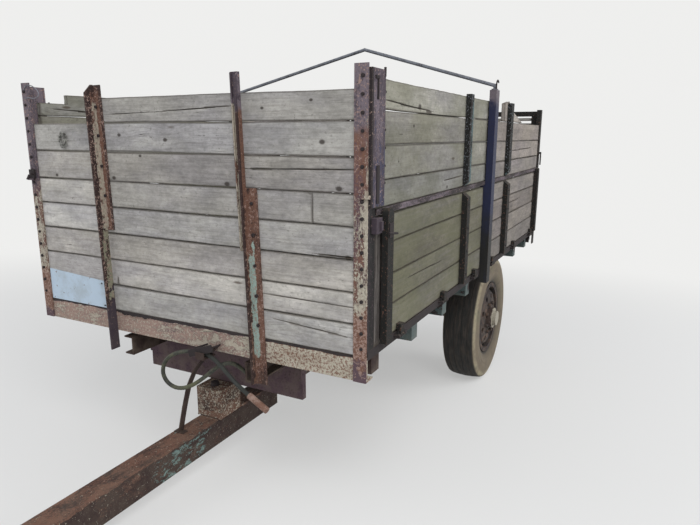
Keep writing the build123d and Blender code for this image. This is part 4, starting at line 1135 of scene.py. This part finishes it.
# Operators: the stage first, then the hose, and then the pieces from the body down to the wheels
class TRAILER_OT_stage(bpy.types.Operator):
    """Make the pale floor, the soft lights and the camera at the photograph's viewpoint"""

    bl_idname = "trailer.stage"
    bl_label = "Stage"

    def execute(self, context):
        scene = context.scene
        scene.view_settings.view_transform = "Standard"
        lens = bpy.data.cameras.new("viewpoint")
        lens.lens = LENS
        lens.sensor_width = SENSOR
        lens.clip_end = FAR_CLIP
        scene.camera = as_object("viewpoint", lens)
        turn = Matrix((VIEW_RIGHT, -VIEW_DOWN, -VIEW_FORWARD)).transposed().to_4x4()
        scene.camera.matrix_world = LEVEL @ Matrix.Translation(VIEWPOINT) @ turn
        self.floor()
        self.sky(scene)
        for name, place, power, width in LAMPS:
            light = bpy.data.lights.new(name, "AREA")
            light.energy = power
            light.size = width
            lamp = as_object(name, light)
            lamp.location = place
            lamp.rotation_euler = (LAMPS_LOOK_AT - Vector(place)).to_track_quat("-Z", "Y").to_euler()
        return {"FINISHED"}

    def floor(self):
        """A pale floor that fades into the backdrop."""
        shape = bmesh.new()
        bmesh.ops.create_grid(shape, x_segments=2, y_segments=2, size=FLOOR_REACH)
        mesh = bpy.data.meshes.new("floor")
        shape.to_mesh(mesh)
        shape.free()
        material, tree, shader = new_material("pale floor")
        shader.inputs["Base Color"].default_value = FLOOR_COLOUR
        shader.inputs["Roughness"].default_value = 0.9
        away = length(node(tree, "ShaderNodeTexCoord", output="Object"))
        seen = background_rays(tree) * spread(away, 3.0, 9.0, FLOOR_GLOW, 1.0)
        glow = node(tree, "ShaderNodeEmission", {"Color": BACKDROP})
        both = node(tree, "ShaderNodeMixShader", {0: seen, 1: Wire(shader.outputs[0]), 2: glow})
        link(both, tree.nodes["Material Output"].inputs[0])
        floor = as_object("floor", mesh, material)
        floor.location.z = -FLOOR_DROP

    def sky(self, scene):
        """A soft even light, behind a plain backdrop."""
        scene.world = bpy.data.worlds.new("soft sky")
        scene.world.use_nodes = True
        tree = scene.world.node_tree
        tree.nodes.clear()
        light = node(tree, "ShaderNodeBackground", {"Color": SKY_COLOUR, "Strength": SKY_STRENGTH})
        shown = node(tree, "ShaderNodeBackground", {"Color": BACKDROP, "Strength": 1.0})
        both = node(tree, "ShaderNodeMixShader", {0: background_rays(tree), 1: light, 2: shown})
        link(both, tree.nodes.new("ShaderNodeOutputWorld").inputs[0])


class TRAILER_OT_hose(bpy.types.Operator):
    """Hang the hydraulic hose over its hanger and finish its coupler and fitting"""

    bl_idname = "trailer.hose"
    bl_label = "Hydraulic hose"

    def execute(self, context):
        route = [Vector(point) / 1000.0 for point in HOSE_ROUTE]
        hose = curve_piece("hydraulic_hose", route, HOSE_DIAMETER / 2, resolution=10, sides=5)
        hose.data.materials.append(hose_rubber())
        ride(hose, "root")
        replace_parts(hose, "hose")
        dress(steel("hanger iron"), "hose_fitting", "hose_hanger")
        dress(steel("orange tip"), "hose_coupler")
        turn = Matrix.Rotation(math.radians(19.0), 4, "X")
        ironwork("hose_clip", "root", [((0.0725, 0.108, 0.002), (0.0785, 0.262, 0.038), turn)], [
            ((0.0105, 0.250, 0.040), (0.0760, 0.250, 0.044), 0.0045, 10),
            ((0.0105, 0.176, 0.032), (0.0760, 0.150, 0.028), 0.0045, 10),
        ])
        return {"FINISHED"}


# Turns that carry the grain of boards across the body and of upright boards to X
ACROSS_GRAIN = (0.0, 0.0, -math.pi / 2)
UP_GRAIN = (0.0, math.pi / 2, 0.0)
# Knots: place in the level axes and radius
FRONT_KNOTS = [
    (0, -0.028, 0.992, 0.012), (0, -0.195, 0.916, 0.009), (0, -0.326, 1.014, 0.011), (0, 0.325, 0.803, 0.014),
    (0, 0.889, 0.806, 0.014), (0, 0.812, 0.989, 0.013), (0, 0.763, 1.152, 0.008), (0, 0.525, 1.125, 0.008),
    (0, -0.385, 0.805, 0.012), (0, -0.815, 0.805, 0.010), (0, 0.930, 0.528, 0.014),
]
# Where boards are paler or darker: the gain, and the limits as axis, low, high and the width of the change
FRONT_TONES = (
    (0.42, ((1, -1.05, -0.46, 0.03), (2, 0.0, 0.90, 0.10))),
    (0.42, ((1, -0.42, 1.05, 0.03), (2, 0.0, 0.40, 0.15))),
    (0.06, ((1, -0.42, 1.05, 0.05), (2, 0.50, 1.20, 0.15))),
)
SIDE_TONES = (
    (0.16, ((2, 1.075, 1.40, 0.01),)),
    (-0.08, ((2, 0.80, 1.06, 0.02), (0, -1.28, 0.0, 0.02))),
)
GATE_TONES = (
    (-0.16, ((0, -4.0, -1.85, 0.02),)),
    (0.14, ((0, -1.85, 0.0, 0.02), (2, 0.0, 0.25, 0.01))),
)
CORNER_TONES = ((-0.45, ((2, -1.0, 2.0, 0.1),)),)
SIDE_KNOTS = [
    (-0.539, 1, 1.143, 0.018), (-0.470, 1, 1.057, 0.010), (-0.981, 1, 0.746, 0.012),
    (-0.300, 1, 0.905, 0.006),
]
# Cracks: start, end, half width and depth
FRONT_CRACKS = [
    ((0, -0.360, 1.112), (0, -0.020, 1.119), 0.0010, 0.006),
    ((0, -0.010, 1.121), (0, 0.360, 1.136), 0.0012, 0.008),
    ((0, 0.505, 0.3225), (0, 0.955, 0.3185), 0.0009, 0.005),
    ((0, 0.455, 0.873), (0, 0.955, 0.884), 0.0016, 0.010),
    ((0, 0.767, 0.655), (0, 0.765, 0.785), 0.0007, 0.004),
    ((0, 0.790, 0.531), (0, 1.000, 0.529), 0.0020, 0.010),
    ((0, -0.420, 0.232), (0, -0.415, 0.290), 0.0025, 0.012),
    ((0, 0.560, 0.214), (0, 0.930, 0.188), 0.0014, 0.008),
]


class TRAILER_OT_front_boards(bpy.types.Operator):
    """Make the weathered boards of the front wall"""

    bl_idname = "trailer.front_boards"
    bl_label = "Front boards"

    def execute(self, context):
        wood = timber("front timber", turn=ACROSS_GRAIN, film=0.05, knots=FRONT_KNOTS, flat=(0.0, 0.7, 1.0),
                      tones=FRONT_TONES)
        wear_boards("front_wall_boards", "front_planks", "bed", 1, wood, 3, FRONT_CRACKS)
        return {"FINISHED"}


class TRAILER_OT_side_boards(bpy.types.Operator):
    """Make the weathered upper boards of both side walls"""

    bl_idname = "trailer.side_boards"
    bl_label = "Side boards"

    def execute(self, context):
        wood = timber("side timber", film=0.45, pale="timber_side", knots=SIDE_KNOTS, flat=(0.7, 0.0, 1.0),
                      tones=SIDE_TONES, clean_from=MIDDLE_POST)
        for side, sign in SIDES:
            y = sign * HALF
            cracks = [
                ((-0.16, y, 1.154), (-0.70, y, 1.128), 0.0015, 0.009),
                ((-0.95, y, 0.782), (-1.25, y, 0.790), 0.0013, 0.008),
                ((-2.55, y, 0.905), (-3.30, y, 0.912), 0.0016, 0.009),
            ]
            name, solid = f"side_wall_boards_{side}", f"side_boards_{side}"
            wear_boards(name, solid, "bed", 0, wood, 11 + sign, cracks)
        wood = timber("corner timber", turn=UP_GRAIN, pale="timber_clean", dark="rust_deep", streaks=1.0,
                      tones=CORNER_TONES)
        wear_boards("corner_wall_boards", "corner_boards", "bed", 2, wood, 17)
        return {"FINISHED"}


class TRAILER_OT_gate_boards(bpy.types.Operator):
    """Make the weathered boards of the four drop gates"""

    bl_idname = "trailer.gate_boards"
    bl_label = "Gate boards"

    def execute(self, context):
        wood = timber("gate timber", film=0.52, pale="timber_gate", streaks=0.75, dust=0.20, top=0.40,
                      tones=GATE_TONES, clean_from=MIDDLE_POST)
        for index, gate in enumerate(GATES):
            y = side_of(gate) * HALF
            cracks = [
                ((-0.45, y, 0.360), (-0.95, y, 0.348), 0.0014, 0.008),
                ((-2.3, y, 0.50), (-2.9, y, 0.505), 0.0014, 0.008),
            ]
            wear_boards(f"{gate}_boards", f"{gate}_planks", gate, 0, wood, 20 + index, cracks)
        return {"FINISHED"}


class TRAILER_OT_tailgate_boards(bpy.types.Operator):
    """Make the weathered boards and slats of the tailgate, and the floor"""

    bl_idname = "trailer.tailgate_boards"
    bl_label = "Tailgate and floor boards"

    def execute(self, context):
        wood = timber("tailgate timber", turn=ACROSS_GRAIN, film=0.30)
        wear_boards("tailgate_boards", "tailgate_planks", "tailgate", 1, wood, 31)
        wear_boards("tailgate_slat_boards", "tailgate_slats", "tailgate", 1, wood, 33)
        dress(timber("floor timber", film=0.15, dust=0.8, top=0.6, joints=(1, FLOOR_BOARD)), "bed_floor")
        return {"FINISHED"}


# The solids of each steel finish
DRESSED = {
    "front rail": ("front_rail",),
    "side rail": ("side_edge_rails", "rear_rail"),
    "mid rail": ("mid_rails",),
    "corner post": ("front_corner_posts",),
    "front upright": ("front_uprights",),
    "side upright": ("side_uprights",),
    "gate iron": ("rear_corner_posts", "tailgate_frame", *(f"{gate}_irons" for gate in GATES)),
    "navy post": ("mid_posts",),
    "bearer paint": ("bed_cross_bearers", "bed_runners"),
    "crossmember paint": ("chassis_front_crossmember", "chassis_mid_crossmember"),
    "chassis": (
        "chassis_rails", "ram_crossmember", "rear_pivot_frame", "axle_beam", "ram_barrel", "ram_clevis",
    ),
    "drawbar": ("drawbar", "drawbar_pedestal", "towing_eye"),
    "hoop": ("bow", "ram_rod"),
}


class TRAILER_OT_steelwork(bpy.types.Operator):
    """Give every steel piece of the body and chassis its rust and old paint"""

    bl_idname = "trailer.steelwork"
    bl_label = "Steelwork"

    def execute(self, context):
        for finish, solids in DRESSED.items():
            dress(steel(finish), *solids)
        dress(sheet_paint(), "patch_sheet")
        return {"FINISHED"}


class TRAILER_OT_bolts(bpy.types.Operator):
    """Set the bolts of the posts, uprights, boards and gates"""

    bl_idname = "trailer.bolts"
    bl_label = "Bolts"

    def execute(self, context):
        ahead = (1, 0, 0)
        rows = []
        for sign in (1, -1):
            y, outward = sign * (HALF - 0.022), (0, sign, 0)
            rows.append(((PLATE, y, 0.150), (PLATE, y, 1.235), 17, ahead, 0.95))
            for z in (1.184, 1.037, 0.966, 0.894, 0.825):
                rows.append(one_bolt((-0.146, sign * HALF, z), outward, 0.75))
            y = sign * (HALF + 0.030)
            for x in (-1.270, -2.330):
                rows.append(((x, y, 0.78), (x, y, 1.19), 4, outward, 0.7))
        for y, z in ((-0.455, 1.147), (-0.454, 1.010), (-0.448, 0.862), (-0.442, 0.715)):
            rows.append(one_bolt((0.012, y, z), ahead, 1.05))
        rows.append(((0.012, 0.465, 0.725), (0.012, 0.480, 0.174), 5, ahead, 1.0))
        rows.append(((0.012, 0.402, 1.150), (0.012, 0.410, 0.870), 3, ahead, 0.8))
        for y, z in ((-0.965, 0.262), (-0.541, 0.244), (-0.529, 0.125), (-0.975, 0.132)):
            rows.append(one_bolt((0.002, y, z), ahead, 0.5))
        set_bolts("body_bolts", "bed", rows)
        for index, gate in enumerate(GATES):
            sign, x = side_of(gate), -1.300 if "front" in gate else -2.360
            face = sign * (HALF + 0.035)
            row = ((x, face, 0.20), (x, face, 0.62), 4, (0, sign, 0), 0.7)
            set_bolts(f"{gate}_bolts", gate, [row], seed=index)
        return {"FINISHED"}


# Wires on the body, as level points that a curve follows
HOOK = [
    (-1.790, 1.060, 1.297), (-1.772, 1.062, 1.325), (-1.775, 1.064, 1.352), (-1.802, 1.064, 1.364),
    (-1.828, 1.062, 1.348),
]
POST_WIRE = [
    (0.009, -1.005, 1.232), (0.013, -0.985, 1.262), (0.016, -0.940, 1.270), (0.014, -0.885, 1.246),
    (0.012, -0.870, 1.212), (0.012, -0.915, 1.196), (0.011, -0.965, 1.206), (0.0095, -0.998, 1.200),
]
GATE_RING = [
    (-1.950 + 0.021 * math.cos(turn), 1.0265 + 0.004 * math.sin(turn), 0.650 + 0.021 * math.sin(turn))
    for turn in (2 * math.pi * index / 8 for index in range(8))
]
# The pedestal's welds: start and end in x and y, and height
WELD_LOW, WELD_HIGH = -0.475, -0.311
WELDS = {
    "low": ((-0.332, 0.080), (-0.170, 0.080), WELD_LOW),
    "far": ((-0.332, -0.080), (-0.170, -0.080), WELD_LOW),
    "front": ((-0.170, -0.060), (-0.170, 0.060), WELD_LOW),
    "high": ((-0.288, 0.080), (-0.288, -0.080), WELD_HIGH),
}


class TRAILER_OT_ironmongery(bpy.types.Operator):
    """Add the latches, hooks, brackets and wires on the body, and the torn edge of the front rail"""

    bl_idname = "trailer.ironmongery"
    bl_label = "Ironmongery"

    def execute(self, context):
        dark = steel("fastener")
        ironwork("gate_latch_block", "bed", [
            ((-0.086, 1.0185, 0.628), (-0.030, 1.043, 0.692)),
            ((-0.078, 1.0425, 0.640), (-0.060, 1.052, 0.678)),
        ], finish="pale iron")
        ironwork("gate_latch_pin", "gate_front_left", [
            ((-0.158, 1.0585, 0.602), (-0.116, 1.064, 0.664)),
        ], [
            ((-0.106, 1.0635, 0.624), (-0.196, 1.0635, 0.612), 0.0050),
        ])
        ironwork("post_straps", "bed", [
            ((-0.072, 1.0305, 0.748), (-0.046, 1.035, 0.900)),
            ((-0.060, 1.0305, 1.226), (-0.026, 1.037, 1.238)),
        ], [
            ((-0.050, 1.034, 1.150), (-0.050, 1.034, 1.228), 0.0040, 10),
            ((-0.122, 1.029, 1.240), (-0.123, 1.029, 1.275), 0.0050, 10),
        ])
        ironwork("far_post_latch", "bed", [
            ((0.0075, -1.018, 0.782), (0.020, -0.976, 0.830)),
        ], [
            ((0.016, -1.022, 0.800), (0.030, -1.022, 0.776), 0.006, 10),
            ((0.012, -0.985, 0.806), (0.034, -0.985, 0.806), 0.007, 10),
        ])
        wire_piece("mid_post_hook", "bed", dark, HOOK, 0.0045)
        wire_piece("far_post_wire", "bed", steel("hoop"), POST_WIRE, 0.0022)
        wire_piece("gate_ring", "gate_rear_left", dark, GATE_RING, 0.0040, cyclic=True)
        plug = ((-0.225, 0.0, -0.3115), (-0.225, 0.0, -0.290), 0.024, 20, 0.020)
        ironwork("pedestal_plug", "root", rods=[plug], smooth=40)
        picks = random.Random(7)
        self.rail_edge("front_rail_lip", picks, -0.180, 0.395, 0.098, 0.0020, steel("front rail"))
        self.rail_edge("front_rail_peel", picks, -0.436, -0.190, 0.101, 0.009, dark)
        self.twine()
        self.welds()
        return {"FINISHED"}

    def rail_edge(self, name, picks, low_y, high_y, foot, reach, material):
        """A stretch of the front rail's lip, ragged or peeled off."""
        shape = bmesh.new()
        count = round((high_y - low_y) / 0.008)
        rows = []
        for index in range(count + 1):
            y = low_y + (high_y - low_y) * index / count
            swell = math.sin(math.pi * index / count)
            drop = foot - 0.006 * picks.random() + 0.004 * math.sin(index * 0.7)
            out = 0.0008 + reach * swell * (0.7 + 0.3 * picks.random())
            corners = (
                (0.0004, y, 0.1118), (out, y, 0.1135 + 0.004 * swell), (out + 0.001, y, drop),
                (0.0004, y, drop + 0.001),
            )
            rows.append([shape.verts.new(corner) for corner in corners])
        skin(shape, rows)
        for end in (rows[0], rows[-1]):
            shape.faces.new(end)
        placed(name, "bed", shape, material)

    def twine(self):
        """A tangle of old twine on a nail in the left bay of the front wall."""
        picks = random.Random(11)
        material = old_twine()
        for number in range(7):
            points = []
            wide, tall = picks.uniform(0.018, 0.034), picks.uniform(0.026, 0.048)
            slant = picks.uniform(-0.6, 0.6)
            for index in range(9):
                turn = 2 * math.pi * index / 9
                y = wide * math.cos(turn) + slant * tall * math.sin(turn) * 0.6
                z = tall * math.sin(turn)
                points.append((
                    0.0025 + picks.uniform(0.0, 0.012), -0.731 + y + picks.uniform(-0.007, 0.007),
                    0.990 + z + picks.uniform(-0.007, 0.007),
                ))
            name = f"twine_{number + 1}"
            wire_piece(name, "bed", material, points, 0.0016, None, cyclic=True, resolution=3, sides=1)

    def welds(self):
        """Rough beads where the pedestal meets the drawbar and the crossmember."""
        picks = random.Random(5)
        iron, radius = steel("hanger iron"), sizes().weld_radius
        for name, (start, end, z) in WELDS.items():
            count = max(4, round(math.dist(start, end) / 0.008))
            points = []
            for index in range(count + 1):
                part = index / count
                points.append((
                    start[0] + (end[0] - start[0]) * part + picks.uniform(-0.0012, 0.0012),
                    start[1] + (end[1] - start[1]) * part + picks.uniform(-0.0012, 0.0012),
                    z + picks.uniform(-0.0015, 0.0015),
                ))
            wire_piece(f"pedestal_weld_{name}", "root", iron, points, radius, resolution=3, sides=2)


class TRAILER_OT_wheels(bpy.types.Operator):
    """Make the tyres with their worn tread and ribbed walls, the dished rims and the hubs"""

    bl_idname = "trailer.wheels"
    bl_label = "Wheels"

    # Half of a tyre's outline: radius, distance from the middle
    OUTLINE = (
        (0.2795, 0.1000), (0.285, 0.1040), (0.294, 0.1085), (0.298, 0.1075), (0.308, 0.1140),
        (0.330, 0.1230), (0.352, 0.1285), (0.368, 0.1305), (0.3725, 0.1288), (0.377, 0.1308),
        (0.400, 0.1300), (0.424, 0.1265), (0.443, 0.1235), (0.459, 0.1200), (0.4690, 0.1165),
        (0.4760, 0.1110), (0.4800, 0.1030), (0.4820, 0.0930), (0.4835, 0.0790), (0.4840, 0.0760),
        (0.4815, 0.0745), (0.4815, 0.0705), (0.4848, 0.0690), (0.4872, 0.0480), (0.4878, 0.0300),
        (0.4855, 0.0286), (0.4855, 0.0244), (0.4885, 0.0230), (0.4897, 0.0),
    )

    def execute(self, context):
        material = tyre_rubber()
        half = self.OUTLINE
        outline = [*half, *((radius, -width) for radius, width in reversed(half[:-1]))]
        turns = [2 * math.pi * (index + 0.5) / 8 for index in range(8)]
        for name, sign in SIDES:
            shape, rows = bmesh.new(), []
            for step in range(TYRE_STEPS):
                spin = Matrix.Rotation(2 * math.pi * step / TYRE_STEPS, 4, "Y")
                places = [spin @ Vector((radius, width, 0.0)) for radius, width in outline]
                rows.append([shape.verts.new(place) for place in places])
            skin(shape, [*rows, rows[0]])
            move = Matrix.Translation((AXLE_PLACE.x, sign * WHEEL_Y, AXLE_PLACE.z))
            tyre = placed(f"worn_tyre_{name}", f"wheel_{name}", shape, material, move, 40)
            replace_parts(tyre, f"tyre_{name}")
            dress(steel("rim"), f"rim_{name}")
            dress(steel("hub"), f"hub_{name}")
            places = [(NUTS_R * math.cos(turn), sign * NUTS_OUT, NUTS_R * math.sin(turn)) for turn in turns]
            nuts = [one_bolt(place, (0, sign, 0), 1.0) for place in places]
            wheel = f"wheel_{name}"
            set_bolts(f"wheel_nuts_{name}", wheel, nuts, "rim", 6, 0.86, 0.014, 0.018, move)
        return {"FINISHED"}


OPERATORS = (
    TRAILER_OT_stage, TRAILER_OT_hose, TRAILER_OT_front_boards, TRAILER_OT_side_boards,
    TRAILER_OT_gate_boards, TRAILER_OT_tailgate_boards, TRAILER_OT_steelwork, TRAILER_OT_bolts,
    TRAILER_OT_ironmongery, TRAILER_OT_wheels,
)


class TRAILER_PT_panel(bpy.types.Panel):
    """Lists the trailer's sizes, colours and pieces"""

    bl_idname = "TRAILER_PT_panel"
    bl_label = "Farm trailer"
    bl_space_type = "VIEW_3D"
    bl_region_type = "UI"
    bl_category = "Trailer"

    def draw(self, context):
        layout = self.layout
        for settings in (context.scene.trailer_sizes, context.scene.trailer_colours):
            box = layout.box()
            for key in settings.__annotations__:
                box.prop(settings, key)
        for operator in OPERATORS:
            layout.operator(operator.bl_idname)


CLASSES = (TrailerSizes, TrailerColours, *OPERATORS, TRAILER_PT_panel)


def register():
    for item in CLASSES:
        bpy.utils.register_class(item)
    bpy.types.Scene.trailer_sizes = bpy.props.PointerProperty(type=TrailerSizes)
    bpy.types.Scene.trailer_colours = bpy.props.PointerProperty(type=TrailerColours)


def unregister():
    del bpy.types.Scene.trailer_colours
    del bpy.types.Scene.trailer_sizes
    for item in reversed(CLASSES):
        bpy.utils.unregister_class(item)


def main():
    register()
    for operator in OPERATORS:
        family, name = operator.bl_idname.split(".")
        getattr(getattr(bpy.ops, family), name)()


if __name__ == "__main__":
    main()
